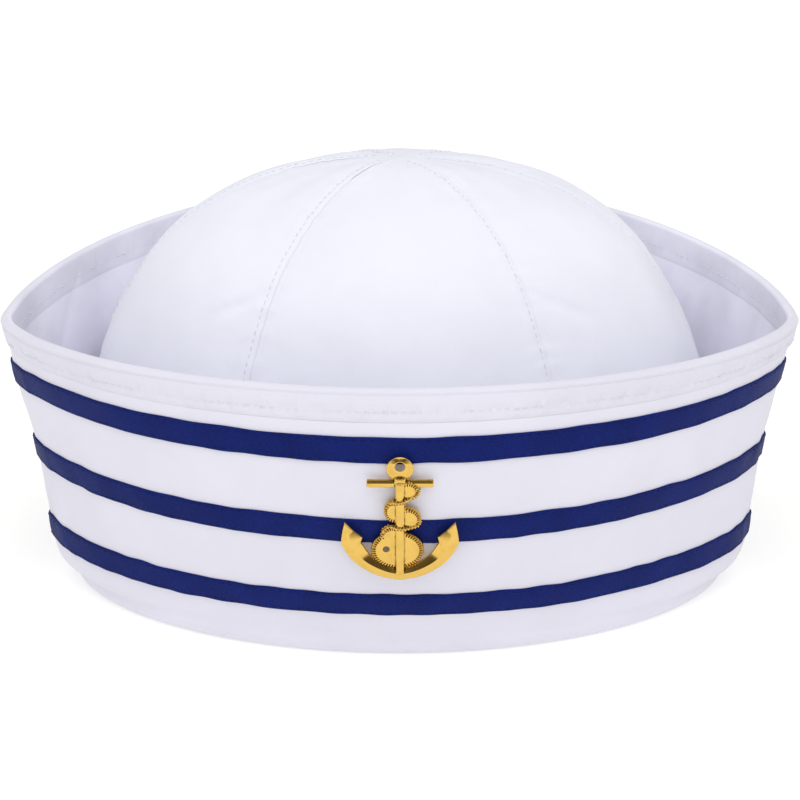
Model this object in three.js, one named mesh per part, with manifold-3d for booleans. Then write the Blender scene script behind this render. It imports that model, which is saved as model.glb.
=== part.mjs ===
// A white sailor cap: a crown of six cloth gores, a tall turned-up cuff with a hemmed rim,
// three navy ribbons round the cuff and a gilt fouled anchor pinned to its front.
// Millimetres, +Z up, the front of the cap towards -Y.

import * as THREE from 'three';
import { mergeVertices } from 'three/addons/utils/BufferGeometryUtils.js';
import Module from 'manifold-3d';

// Head opening: the crown's outer face where it meets the cuff, measured from the side tips
const HEAD_HALF_WIDTH = 99.2;
const HEAD_FRONT = 63.2;
const HEAD_REAR = 100;
const HEAD_PINCH = 1.24;

// Crown
const CROWN_HEIGHT = 136.5;
const CROWN_SET_BACK = 20;
const CROWN_WALL = 1.5;
const GORES = 6;
const SEAM_DIP = 1.3;
const APEX_RADIUS = 1.1;

// Cuff
const CUFF_WALL_HEIGHT = 87.6;
const CUFF_HALF_WIDTH = 126.6;
const CUFF_FRONT = 87.5;
const CUFF_REAR = 126;
const CUFF_WALL = 1.5;
const RIM_FRONT_LIFT = 2.9;
const RIM_REAR_LIFT = 11.4;
const FOLD_RADIUS = 5;
const TURN_IN = 9;

// Hem over the rim
const HEM_WIDTH = 7.5;
const HEM_WALL = 1;

// Ribbons: each one's middle is a share of the way up the cuff
const RIBBON_WIDTH = 7.7;
const RIBBON_WALL = 1;
const RIBBONS = [
  { name: 'ribbon_lower', middle: 0.214 },
  { name: 'ribbon_middle', middle: 0.519 },
  { name: 'ribbon_upper', middle: 0.817 },
];

// Badge, with heights above its back face; places up and down it are shares of its height
const BADGE_WIDTH = 35.2;
const BADGE_HEIGHT = 43.8;
const BADGE_MIDDLE = 0.587;
const BADGE_EDGE = 0.9;
const BADGE_RELIEF = 2.6;
const EYE_RADIUS = 4.1;
const EYE_TAPER = 0.85;
const EYE_RELIEF = 2.1;
const EYE_HOLE_RADIUS = 1.5;
const EYE_PLACE = 0.422;
const SHANK_WIDTH = 3;
const SHANK_SHOULDER = 1.8;
const SHANK_RELIEF = 3;
const SHANK_FOOT = -0.4;
const STOCK_LENGTH = 19.8;
const STOCK_HEIGHT = 2.3;
const STOCK_PLACE = 0.284;
const LOBE_RELIEF = 1.6;
const ROPE_RADIUS = 0.9;
const ROPE_LEVEL = 2.3;
const ROPE_HOLE_RADIUS = 1;

// Pin
const POST_RADIUS = 0.8;
const CLUTCH_RADIUS = 4.5;
const CLUTCH_THICKNESS = 2.2;
const PIN_PLACE = 0.67;

// Clearance between pieces that touch on the real cap
const GAP = 0.3;

// Steps round the cap, a whole number of them in each gore
const STEPS_PER_GORE = 8;
const STEPS_ROUND = GORES * STEPS_PER_GORE;
const FULL_TURN = 2 * Math.PI;
const FRONT_ANGLE = -Math.PI / 2;
const ROLL_FACETS = 4;
const BADGE_SEGMENTS = 14;
const ROPE_STEPS = 44;
const ROPE_SIDES = 6;

// Small steps along a surface, to find its direction
const ANGLE_STEP = 0.02;
const SHARE_STEP = 0.01;

// The cuff's outer face from fold to rim. height is a share of the wall's height, width, front and
// rear are shares of the cuff's half width, front and rear, and pinch sharpens the side tips.
const CUFF_SECTIONS = [
  { height: 0.104, width: 0.884, front: 0.803, rear: 0.866, pinch: 1.28 },
  { height: 0.150, width: 0.893, front: 0.820, rear: 0.874, pinch: 1.32 },
  { height: 0.242, width: 0.901, front: 0.862, rear: 0.888, pinch: 1.38 },
  { height: 0.461, width: 0.921, front: 0.940, rear: 0.919, pinch: 1.40 },
  { height: 0.565, width: 0.934, front: 0.968, rear: 0.931, pinch: 1.40 },
  { height: 0.750, width: 0.964, front: 0.998, rear: 0.960, pinch: 1.41 },
  { height: 0.842, width: 0.977, front: 1.000, rear: 0.976, pinch: 1.38 },
  { height: 0.923, width: 0.989, front: 0.989, rear: 0.988, pinch: 1.31 },
  { height: 1.000, width: 1.000, front: 0.972, rear: 1.000, pinch: 1.25 },
];

// The crown's outer face from its sewn edge to the apex. way is the share of the cloth's length,
// height a share of the crown's rise, width, front and rear are shares of the head opening's sizes,
// and back is how far the section's widest line has moved back, as a share of the crown's set back.
const CROWN_SECTIONS = [
  { way: 0.00, height: 0.000, width: 1.000, front: 1.000, rear: 1.000, back: 0.00, pinch: 1.24 },
  { way: 0.05, height: 0.073, width: 1.000, front: 1.000, rear: 1.000, back: 0.00, pinch: 1.24 },
  { way: 0.18, height: 0.262, width: 1.012, front: 1.120, rear: 0.960, back: 0.32, pinch: 1.16 },
  { way: 0.30, height: 0.440, width: 1.008, front: 1.180, rear: 0.870, back: 0.63, pinch: 1.08 },
  { way: 0.39, height: 0.570, width: 0.966, front: 1.170, rear: 0.790, back: 0.84, pinch: 1.03 },
  { way: 0.49, height: 0.704, width: 0.870, front: 1.080, rear: 0.680, back: 1.00, pinch: 1.00 },
  { way: 0.58, height: 0.806, width: 0.765, front: 0.930, rear: 0.580, back: 1.00, pinch: 1.00 },
  { way: 0.66, height: 0.878, width: 0.640, front: 0.750, rear: 0.475, back: 1.00, pinch: 1.00 },
  { way: 0.74, height: 0.932, width: 0.505, front: 0.565, rear: 0.360, back: 1.00, pinch: 1.00 },
  { way: 0.83, height: 0.972, width: 0.345, front: 0.365, rear: 0.235, back: 1.00, pinch: 1.00 },
  { way: 0.91, height: 0.992, width: 0.190, front: 0.190, rear: 0.125, back: 1.00, pinch: 1.00 },
  { way: 1.00, height: 1.000, width: 0.000, front: 0.000, rear: 0.000, back: 1.00, pinch: 1.00 },
];

// The left half of the anchor's arms from fluke tip to crown, as shares of the badge's half width
// and of its height below the badge's middle. The right half is its mirror image.
const ARM_SECTIONS = [
  { outerX: 0.943, outerY: 0.02, ridgeX: 0.940, ridgeY: 0.03, innerX: 0.930, innerY: 0.03 },
  { outerX: 0.985, outerY: 0.10, ridgeX: 0.880, ridgeY: 0.11, innerX: 0.790, innerY: 0.09 },
  { outerX: 1.000, outerY: 0.17, ridgeX: 0.830, ridgeY: 0.17, innerX: 0.640, innerY: 0.14 },
  { outerX: 0.950, outerY: 0.23, ridgeX: 0.780, ridgeY: 0.22, innerX: 0.665, innerY: 0.185 },
  { outerX: 0.800, outerY: 0.32, ridgeX: 0.640, ridgeY: 0.30, innerX: 0.530, innerY: 0.27 },
  { outerX: 0.560, outerY: 0.40, ridgeX: 0.430, ridgeY: 0.36, innerX: 0.360, innerY: 0.33 },
  { outerX: 0.290, outerY: 0.45, ridgeX: 0.210, ridgeY: 0.40, innerX: 0.170, innerY: 0.37 },
  { outerX: 0.000, outerY: 0.47, ridgeX: 0.000, ridgeY: 0.42, innerX: 0.000, innerY: 0.385 },
];

// The round lobes of metal between the rope's turns and the shank, in the same shares
const ROPE_LOBES = [
  { x: 0.12, y: 0.235, radius: 0.16 },
  { x: -0.13, y: 0.086, radius: 0.13 },
  { x: 0.18, y: 0.014, radius: 0.195 },
  { x: -0.15, y: -0.100, radius: 0.155 },
  { x: -0.28, y: -0.225, radius: 0.200 },
  { x: 0.18, y: -0.195, radius: 0.240 },
  { x: -0.03, y: -0.215, radius: 0.340 },
];

const ROPE_HOLE = { x: -0.235, y: -0.238 };

// The rope's middle line, from the stock round the shank to the anchor's crown
const ROPE_ROUTE = [
  { x: 0.30, y: 0.255 },
  { x: 0.20, y: 0.188 },
  { x: 0.02, y: 0.160 },
  { x: -0.15, y: 0.140 },
  { x: -0.23, y: 0.090 },
  { x: -0.15, y: 0.040 },
  { x: 0.00, y: 0.055 },
  { x: 0.17, y: 0.070 },
  { x: 0.32, y: 0.023 },
  { x: 0.27, y: -0.040 },
  { x: 0.03, y: -0.058 },
  { x: -0.20, y: -0.066 },
  { x: -0.28, y: -0.110 },
  { x: -0.34, y: -0.164 },
  { x: -0.43, y: -0.220 },
  { x: -0.34, y: -0.290 },
  { x: -0.03, y: -0.336 },
  { x: 0.25, y: -0.297 },
  { x: 0.37, y: -0.227 },
  { x: 0.27, y: -0.140 },
  { x: 0.14, y: -0.100 },
];

// The shares of the crown's cloth at which a gore has a row of points
const GORE_WAYS = [0, 0.05, 0.12, 0.2, 0.28, 0.36, 0.44, 0.52, 0.6, 0.68, 0.76, 0.84, 0.92, 1];

const wasm = await Module();
wasm.setup();

const whiteCloth = new THREE.MeshStandardMaterial({ color: 0xeceefa, roughness: 0.9 });
const navyRibbon = new THREE.MeshStandardMaterial({ color: 0x16235f, roughness: 0.6 });
const giltMetal = new THREE.MeshStandardMaterial({ color: 0xe2b23c, roughness: 0.25, metalness: 1 });

// Interpolation of a section table by one of its columns, with a smooth curve through its rows
function rowAt(table, column, value) {
  const last = table.length - 1;
  let k = 0;
  while (k < last - 1 && table[k + 1][column] < value) {
    k += 1;
  }
  const from = table[k];
  const to = table[k + 1];
  const before = table[Math.max(k - 1, 0)];
  const after = table[Math.min(k + 2, last)];
  const span = to[column] - from[column];
  const t = (value - from[column]) / span;
  const row = {};
  for (const name of Object.keys(from)) {
    const slopeIn = (to[name] - before[name]) / (to[column] - before[column]);
    const slopeOut = (after[name] - from[name]) / (after[column] - from[column]);
    const hold = (2 * t * t * t - 3 * t * t + 1) * from[name] + (3 * t * t - 2 * t * t * t) * to[name];
    const lean = (t * t * t - 2 * t * t + t) * slopeIn + (t * t * t - t * t) * slopeOut;
    row[name] = hold + lean * span;
  }
  return row;
}

// A plan outline: an ellipse with its own front and rear reach, its side tips sharpened by pinch
function planPoint(angle, width, front, rear, pinch) {
  const across = Math.sin(angle);
  const reach = across < 0 ? front : rear;
  return new THREE.Vector3(
    width * Math.cos(angle),
    Math.sign(across) * reach * Math.abs(across) ** pinch,
    0,
  );
}

// The head opening's outline, moved outwards along its own normal
function headOutline(angle, out, height) {
  const at = (a) => planPoint(a, HEAD_HALF_WIDTH, HEAD_FRONT, HEAD_REAR, HEAD_PINCH);
  const along = at(angle + ANGLE_STEP).sub(at(angle - ANGLE_STEP)).normalize();
  const point = at(angle);
  point.x += along.y * out;
  point.y -= along.x * out;
  point.z = height;
  return point;
}

// The rim's lift: none at the side tips, full at the front or the rear
function rimLift(angle) {
  const across = Math.sin(angle);
  const lift = across < 0 ? RIM_FRONT_LIFT : RIM_REAR_LIFT;
  return lift * Math.abs(across) ** HEAD_PINCH;
}

function cuffPoint(angle, share) {
  const row = rowAt(CUFF_SECTIONS, 'height', share);
  const point = planPoint(
    angle,
    row.width * CUFF_HALF_WIDTH,
    row.front * CUFF_FRONT,
    row.rear * CUFF_REAR,
    row.pinch,
  );
  point.z = share * (CUFF_WALL_HEIGHT + rimLift(angle));
  return point;
}

function crownPoint(angle, way) {
  const row = rowAt(CROWN_SECTIONS, 'way', way);
  const point = planPoint(
    angle,
    Math.max(row.width * HEAD_HALF_WIDTH, APEX_RADIUS),
    Math.max(row.front * HEAD_FRONT, APEX_RADIUS),
    Math.max(row.rear * HEAD_REAR, APEX_RADIUS),
    row.pinch,
  );
  point.y += row.back * CROWN_SET_BACK;
  point.z = FOLD_CENTRE + row.height * (CROWN_HEIGHT - FOLD_CENTRE);
  return point;
}

// The direction round a surface that is given by the angle round and the share up
function roundward(surface, angle, share) {
  return surface(angle + ANGLE_STEP, share).sub(surface(angle - ANGLE_STEP, share)).normalize();
}

// Such a surface's outward normal
function outward(surface, angle, share) {
  const above = surface(angle, Math.min(share + SHARE_STEP, 1));
  const up = above.sub(surface(angle, share - SHARE_STEP));
  return roundward(surface, angle, share).cross(up).normalize();
}

// A point of the cuff's wall, out from its outer face and above its place along the wall
function cuffOffset(angle, share, out, above = 0) {
  const normal = outward(cuffPoint, angle, share);
  const up = normal.clone().cross(roundward(cuffPoint, angle, share)).normalize();
  return cuffPoint(angle, share).addScaledVector(normal, out).addScaledVector(up, above);
}

// The closed mesh that joins rings of points. A ring is one closed outline of the solid's section.
function loft(rings, closed) {
  const count = rings[0].length;
  const positions = rings.flat().flatMap((p) => [p.x, p.y, p.z]);
  const index = [];
  const strips = closed ? rings.length : rings.length - 1;
  for (let i = 0; i < strips; i += 1) {
    const here = i * count;
    const next = ((i + 1) % rings.length) * count;
    for (let j = 0; j < count; j += 1) {
      const k = (j + 1) % count;
      index.push(here + j, here + k, next + k, here + j, next + k, next + j);
    }
  }
  if (!closed) {
    const end = (rings.length - 1) * count;
    for (const [a, b, c] of capTriangles(rings[0])) {
      index.push(c, b, a);
    }
    for (const [a, b, c] of capTriangles(rings[rings.length - 1])) {
      index.push(end + a, end + b, end + c);
    }
  }
  return pointedOut(positions, index);
}

// Triangles over an outline that is a strip: its first half runs opposite its second half
function capTriangles(outline) {
  const faces = [];
  let low = 0;
  let high = outline.length - 1;
  while (high - low > 1) {
    faces.push([low, low + 1, high]);
    if (high - low > 2) {
      faces.push([low + 1, high - 1, high]);
    }
    low += 1;
    high -= 1;
  }
  return faces;
}

// A geometry whose faces point out, turned round if its signed volume is negative
function pointedOut(positions, index) {
  const a = new THREE.Vector3();
  const b = new THREE.Vector3();
  const c = new THREE.Vector3();
  let volume = 0;
  for (let i = 0; i < index.length; i += 3) {
    a.fromArray(positions, 3 * index[i]);
    b.fromArray(positions, 3 * index[i + 1]);
    c.fromArray(positions, 3 * index[i + 2]);
    volume += a.dot(b.cross(c));
  }
  const order = volume < 0 ? index.toReversed() : index;
  const geometry = new THREE.BufferGeometry();
  geometry.setAttribute('position', new THREE.Float32BufferAttribute(positions, 3));
  geometry.setIndex(order);
  return geometry;
}

function toSolid(geometry) {
  const bare = geometry.clone();
  bare.deleteAttribute('normal');
  bare.deleteAttribute('uv');
  const merged = mergeVertices(bare, 1e-4);
  return new wasm.Manifold(new wasm.Mesh({
    numProp: 3,
    vertProperties: new Float32Array(merged.attributes.position.array),
    triVerts: new Uint32Array(merged.index.array),
  }));
}

function toGeometry(solid) {
  const mesh = solid.getMesh();
  const geometry = new THREE.BufferGeometry();
  geometry.setAttribute('position', new THREE.BufferAttribute(mesh.vertProperties, 3));
  geometry.setIndex(new THREE.BufferAttribute(mesh.triVerts, 1));
  return geometry;
}

function piece(name, geometry, material) {
  geometry.computeVertexNormals();
  const mesh = new THREE.Mesh(geometry, material);
  mesh.name = name;
  return mesh;
}

function anglesRound() {
  return Array.from({ length: STEPS_ROUND }, (unused, i) => (i * FULL_TURN) / STEPS_ROUND);
}

// Fold: five facets half round, the lowest of them flat on the surface that the cap rests on
const FOLD_FACETS = 5;
const FOLD_STEP = Math.PI / FOLD_FACETS;
const FOLD_CENTRE = FOLD_RADIUS * Math.cos(FOLD_STEP / 2);

// The crown's outer face stands this far inside the fold's middle line
const CROWN_INSET = FOLD_RADIUS - CUFF_WALL - GAP - CROWN_WALL;

function foldArc(angle, radius) {
  const points = [];
  for (let k = 0; k <= FOLD_FACETS; k += 1) {
    const turn = k * FOLD_STEP;
    const out = CROWN_INSET + radius * Math.cos(turn);
    points.push(headOutline(angle, out, FOLD_CENTRE - radius * Math.sin(turn)));
  }
  return points;
}

// Shares up the cuff where its wall has an edge: both edges of every ribbon, the middles between
// them and the hem's lower edge
function ribbonEdges(middle) {
  const half = RIBBON_WIDTH / 2 / CUFF_WALL_HEIGHT;
  return [middle - half, middle + half];
}

const HEM_SHARE = 1 - HEM_WIDTH / CUFF_WALL_HEIGHT;

function wallShares() {
  const shares = [];
  for (const { middle } of RIBBONS) {
    const [low, high] = ribbonEdges(middle);
    if (shares.length > 0) {
      shares.push((shares[shares.length - 1] + low) / 2);
    }
    shares.push(low, high);
  }
  shares.push(HEM_SHARE, 1);
  return shares;
}

function cuffSection(angle) {
  const shares = wallShares();
  const ring = [];
  for (const share of shares.toReversed()) {
    ring.push(cuffOffset(angle, share, 0));
  }
  ring.push(...foldArc(angle, FOLD_RADIUS));
  ring.push(headOutline(angle, CROWN_INSET - FOLD_RADIUS, FOLD_CENTRE + TURN_IN));
  ring.push(headOutline(angle, CROWN_INSET - FOLD_RADIUS + CUFF_WALL, FOLD_CENTRE + TURN_IN));
  ring.push(...foldArc(angle, FOLD_RADIUS - CUFF_WALL).toReversed());
  for (const share of shares) {
    ring.push(cuffOffset(angle, share, -CUFF_WALL));
  }
  return ring;
}

function makeCuff(pinHole) {
  const wall = toSolid(loft(anglesRound().map(cuffSection), true));
  return piece('cuff', toGeometry(wall.subtract(pinHole)), whiteCloth);
}

// The hem's section: a fold of cloth over the cuff's upper edge, clear of it all round
function hemSection(angle) {
  const inner = -CUFF_WALL - GAP;
  const outer = GAP;
  const rollRadius = CUFF_WALL / 2 + GAP + HEM_WALL;
  const ring = [
    cuffOffset(angle, HEM_SHARE, outer),
    cuffOffset(angle, HEM_SHARE, outer + HEM_WALL),
  ];
  for (let k = 0; k <= ROLL_FACETS; k += 1) {
    const turn = (k * Math.PI) / ROLL_FACETS;
    const out = rollRadius * Math.cos(turn) - CUFF_WALL / 2;
    ring.push(cuffOffset(angle, 1, out, rollRadius * Math.sin(turn)));
  }
  ring.push(
    cuffOffset(angle, HEM_SHARE, inner - HEM_WALL),
    cuffOffset(angle, HEM_SHARE, inner),
    cuffOffset(angle, 1, inner, GAP),
    cuffOffset(angle, 1, outer, GAP),
  );
  return ring;
}

function makeHem() {
  return piece('rim_hem', loft(anglesRound().map(hemSection), true), whiteCloth);
}

function makeRibbon({ name, middle }) {
  const [low, high] = ribbonEdges(middle);
  const rings = anglesRound().map((angle) => [
    cuffOffset(angle, low, GAP),
    cuffOffset(angle, low, GAP + RIBBON_WALL),
    cuffOffset(angle, high, GAP + RIBBON_WALL),
    cuffOffset(angle, high, GAP),
  ]);
  return piece(name, loft(rings, true), navyRibbon);
}

// How far the crown's cloth dips at a place across a gore, from -1 at one seam to 1 at the other
function seamDip(across, way) {
  return SEAM_DIP * across ** 4 * Math.sin(Math.PI * way) ** 2;
}

// One row of a gore, out from the crown's face. Its two ends stand half a gap back from the seams.
function goreRow(gore, way, out) {
  const points = [];
  for (let j = 0; j <= STEPS_PER_GORE; j += 1) {
    const across = (2 * j) / STEPS_PER_GORE - 1;
    const angle = FRONT_ANGLE + ((gore + across / 2) * FULL_TURN) / GORES;
    const point = crownPoint(angle, way);
    point.addScaledVector(outward(crownPoint, angle, way), out - seamDip(across, way));
    if (Math.abs(across) === 1) {
      point.addScaledVector(roundward(crownPoint, angle, way), (-across * GAP) / 2);
    }
    points.push(point);
  }
  return points;
}

function makeGore(gore) {
  const rings = GORE_WAYS.map((way) => [
    ...goreRow(gore, way, 0),
    ...goreRow(gore, way, -CROWN_WALL).toReversed(),
  ]);
  return piece(`crown_panel_${gore + 1}`, loft(rings, false), whiteCloth);
}

// Badge, built lying in its own plane: X across, Y up the cuff, Z out of the cloth
function badgePlace(row) {
  return new THREE.Vector2((row.x * BADGE_WIDTH) / 2, row.y * BADGE_HEIGHT);
}

// A disc standing on the badge's back face, its front narrower by taper
function disc(x, y, radius, height, taper = 1) {
  const shape = new THREE.CylinderGeometry(radius * taper, radius, height, BADGE_SEGMENTS);
  shape.rotateX(Math.PI / 2);
  shape.translate(x, y, height / 2);
  return toSolid(shape);
}

// A round hole right through the badge
function drill(x, y, radius) {
  return disc(x, y, radius, 2 * SHANK_RELIEF).translate([0, 0, -GAP]);
}

// A bar along Y with a ridge along its middle, rising towards +Z
function ridgedBar(length, width, edge, ridge) {
  const outline = new THREE.Shape([
    new THREE.Vector2(-width / 2, 0),
    new THREE.Vector2(width / 2, 0),
    new THREE.Vector2(width / 2, edge),
    new THREE.Vector2(0, ridge),
    new THREE.Vector2(-width / 2, edge),
  ]);
  const bar = new THREE.ExtrudeGeometry(outline, { depth: length, bevelEnabled: false });
  bar.translate(0, 0, -length / 2);
  bar.rotateX(Math.PI / 2);
  return bar;
}

function makeArms() {
  const half = BADGE_WIDTH / 2;
  const left = ARM_SECTIONS.map((row) => ({ row, side: -1 }));
  const right = ARM_SECTIONS.slice(0, -1).toReversed().map((row) => ({ row, side: 1 }));
  const rings = [...left, ...right].map(({ row, side }) => {
    const at = (x, y, z) => new THREE.Vector3(side * x * half, -y * BADGE_HEIGHT, z);
    return [
      at(row.outerX, row.outerY, 0),
      at(row.outerX, row.outerY, BADGE_EDGE),
      at(row.ridgeX, row.ridgeY, BADGE_RELIEF),
      at(row.innerX, row.innerY, BADGE_EDGE),
      at(row.innerX, row.innerY, 0),
    ];
  });
  return toSolid(loft(rings, false));
}

function makeRope() {
  const route = new THREE.CatmullRomCurve3(
    ROPE_ROUTE.map((row) => {
      const place = badgePlace(row);
      return new THREE.Vector3(place.x, place.y, ROPE_LEVEL);
    }),
  );
  const section = new THREE.Shape();
  section.absarc(0, 0, ROPE_RADIUS, 0, FULL_TURN);
  return toSolid(new THREE.ExtrudeGeometry(section, {
    steps: ROPE_STEPS,
    curveSegments: ROPE_SIDES,
    extrudePath: route,
  }));
}

function makeBadge() {
  const eyeY = EYE_PLACE * BADGE_HEIGHT;
  const shankTop = eyeY - EYE_RADIUS / 2;
  const shankEnd = SHANK_FOOT * BADGE_HEIGHT;
  const shank = ridgedBar(shankTop - shankEnd, SHANK_WIDTH, SHANK_SHOULDER, SHANK_RELIEF);
  shank.translate(0, (shankTop + shankEnd) / 2, 0);
  const stock = ridgedBar(STOCK_LENGTH, STOCK_HEIGHT, BADGE_EDGE, BADGE_RELIEF);
  stock.rotateZ(Math.PI / 2);
  stock.translate(0, STOCK_PLACE * BADGE_HEIGHT, 0);
  let badge = makeArms()
    .add(toSolid(shank))
    .add(toSolid(stock))
    .add(disc(0, eyeY, EYE_RADIUS, EYE_RELIEF, EYE_TAPER))
    .add(makeRope());
  for (const lobe of ROPE_LOBES) {
    const place = badgePlace(lobe);
    badge = badge.add(disc(place.x, place.y, (lobe.radius * BADGE_WIDTH) / 2, LOBE_RELIEF));
  }
  const ropeHole = badgePlace(ROPE_HOLE);
  return badge
    .subtract(drill(0, eyeY, EYE_HOLE_RADIUS))
    .subtract(drill(ropeHole.x, ropeHole.y, ROPE_HOLE_RADIUS));
}

// The badge's back plane: it leans with the cuff's front and touches the cuff's bulge at one line
function badgeFrame() {
  const reach = BADGE_HEIGHT / 2 / CUFF_WALL_HEIGHT;
  const standoff = 2 * GAP + RIBBON_WALL;
  const at = (share) => cuffOffset(FRONT_ANGLE, share, standoff);
  const low = at(BADGE_MIDDLE - reach);
  const up = at(BADGE_MIDDLE + reach).sub(low).normalize();
  const across = new THREE.Vector3(1, 0, 0);
  const out = across.clone().cross(up);
  let bulge = 0;
  for (const share of wallShares()) {
    if (Math.abs(share - BADGE_MIDDLE) < reach) {
      bulge = Math.max(bulge, at(share).sub(low).dot(out));
    }
  }
  const origin = low.clone().addScaledVector(up, BADGE_HEIGHT / 2).addScaledVector(out, bulge);
  return new THREE.Matrix4().makeBasis(across, up, out).setPosition(origin);
}

// The pin stands square to the badge's back plane and goes through the cuff between two ribbons
function pinPlaces(frame) {
  const out = new THREE.Vector3().setFromMatrixColumn(frame, 2);
  const origin = new THREE.Vector3().setFromMatrixPosition(frame);
  const wall = cuffPoint(FRONT_ANGLE, PIN_PLACE);
  const depth = origin.clone().sub(wall).dot(out);
  const up = new THREE.Vector3().setFromMatrixColumn(frame, 1);
  return { height: wall.clone().sub(origin).dot(up), depth };
}

function makePin(places) {
  const discFront = -places.depth - CUFF_WALL - 2 * GAP;
  const profile = [
    new THREE.Vector2(0, discFront - CLUTCH_THICKNESS),
    new THREE.Vector2(CLUTCH_RADIUS, discFront - CLUTCH_THICKNESS),
    new THREE.Vector2(CLUTCH_RADIUS, discFront),
    new THREE.Vector2(POST_RADIUS, discFront),
    new THREE.Vector2(POST_RADIUS, -GAP),
    new THREE.Vector2(0, -GAP),
  ];
  const turned = new THREE.LatheGeometry(profile, BADGE_SEGMENTS);
  turned.rotateX(Math.PI / 2);
  turned.translate(0, places.height, 0);
  return toSolid(turned);
}

// The hole for the post, cut a wall's thickness past both faces of the cuff
function makePinHole(frame, places) {
  const radius = POST_RADIUS + GAP;
  const hole = new THREE.CylinderGeometry(radius, radius, 3 * CUFF_WALL, BADGE_SEGMENTS);
  hole.rotateX(Math.PI / 2);
  hole.translate(0, places.height, -places.depth - CUFF_WALL / 2);
  hole.applyMatrix4(frame);
  return toSolid(hole);
}

const frame = badgeFrame();
const places = pinPlaces(frame);

const badge = piece('anchor_badge', toGeometry(makeBadge()), giltMetal);
badge.applyMatrix4(frame);
const pin = piece('badge_pin', toGeometry(makePin(places)), giltMetal);
pin.applyMatrix4(frame);

const cap = new THREE.Group();
cap.add(makeCuff(makePinHole(frame, places)));
cap.add(makeHem());
for (const ribbon of RIBBONS) {
  cap.add(makeRibbon(ribbon));
}
for (let gore = 0; gore < GORES; gore += 1) {
  cap.add(makeGore(gore));
}
cap.add(badge, pin);

// The origin: the middle of the cap's box, on the surface that it rests on
cap.updateMatrixWorld(true);
const box = new THREE.Box3().setFromObject(cap, true);
const centre = box.getCenter(new THREE.Vector3());
cap.position.set(-centre.x, -centre.y, -box.min.z);

export default cap;
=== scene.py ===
"""A white cotton sailor cap: six-gore crown, turned-up cuff, three navy ribbons and a gilt fouled anchor.

Every size is in metres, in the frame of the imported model: +Z up, the front of the cap towards -Y.
"""

import math

import bmesh
import bpy
import numpy as np
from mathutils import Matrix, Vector


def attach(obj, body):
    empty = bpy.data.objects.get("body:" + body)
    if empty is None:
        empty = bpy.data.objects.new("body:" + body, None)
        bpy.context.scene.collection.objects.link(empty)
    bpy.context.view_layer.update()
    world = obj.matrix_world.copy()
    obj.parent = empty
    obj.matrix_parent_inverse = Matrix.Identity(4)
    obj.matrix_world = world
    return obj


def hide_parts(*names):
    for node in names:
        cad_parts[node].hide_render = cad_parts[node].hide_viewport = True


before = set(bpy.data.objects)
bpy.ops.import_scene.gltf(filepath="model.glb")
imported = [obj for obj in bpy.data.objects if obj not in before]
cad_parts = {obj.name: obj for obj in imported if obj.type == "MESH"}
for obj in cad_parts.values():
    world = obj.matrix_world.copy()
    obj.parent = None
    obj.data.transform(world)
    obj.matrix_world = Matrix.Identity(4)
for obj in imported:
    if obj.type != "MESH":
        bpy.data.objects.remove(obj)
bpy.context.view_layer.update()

bl_info = {
    "name": "Sailor Cap",
    "version": (1, 0, 0),
    "blender": (4, 5, 0),
    "location": "3D View > Sidebar > Sailor Cap",
    "description": "Builds the cloth, stitching, ribbons and gilt anchor of a sailor cap",
    "category": "Add Mesh",
}

MM = 0.001
FULL_TURN = 2 * math.pi
FRONT_ANGLE = -math.pi / 2
BACK_ANGLE = math.pi / 2

# The line through the side tips lies this far in front of the frame's origin
SIDE_TIPS_Y = -17.3075 * MM

# Head opening and crown. The seams' valley, lap and thread dip are in millimetres.
HEAD_HALF_WIDTH = 99.2 * MM
HEAD_FRONT = 63.2 * MM
HEAD_REAR = 100 * MM
HEAD_PINCH = 1.24
CROWN_HEIGHT = 136.5 * MM
CROWN_SET_BACK = 20 * MM
CROWN_WALL = 1.5 * MM
GORES = 6
SEAM_DIP = 1.3 * MM
SEAM_VALLEY = 0.32
LAP_HEIGHT = 0.26
THREAD_DIP = 0.16
SEAM_TAPE_EDGES = (6.2 * MM, 5.6 * MM)
SEAM_TAPE_WALL = 0.35 * MM
GORE_GAP = 0.03 * MM
APEX_RADIUS = 0.25 * MM

# Cuff
CUFF_WALL_HEIGHT = 87.6 * MM
CUFF_HALF_WIDTH = 126.6 * MM
CUFF_FRONT = 87.5 * MM
CUFF_REAR = 126 * MM
CUFF_WALL = 1.5 * MM
RIM_FRONT_LIFT = 2.9 * MM
RIM_REAR_LIFT = 11.4 * MM
FOLD_RADIUS = 5 * MM
FOLD_CENTRE = FOLD_RADIUS * math.cos(math.pi / 10)
TURN_IN = 9 * MM
GAP = 0.3 * MM
CROWN_INSET = FOLD_RADIUS - CUFF_WALL - GAP - CROWN_WALL

# Ribbons: each one's middle is a share of the way up the cuff
RIBBON_WIDTH = 7.7 * MM
RIBBON_WALL = 1 * MM
RIBBON_LIFT = 0.04 * MM
LAP_BULGE = 0.6
RIBBONS = {"ribbon_lower": 0.214, "ribbon_middle": 0.519, "ribbon_upper": 0.817}

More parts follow.
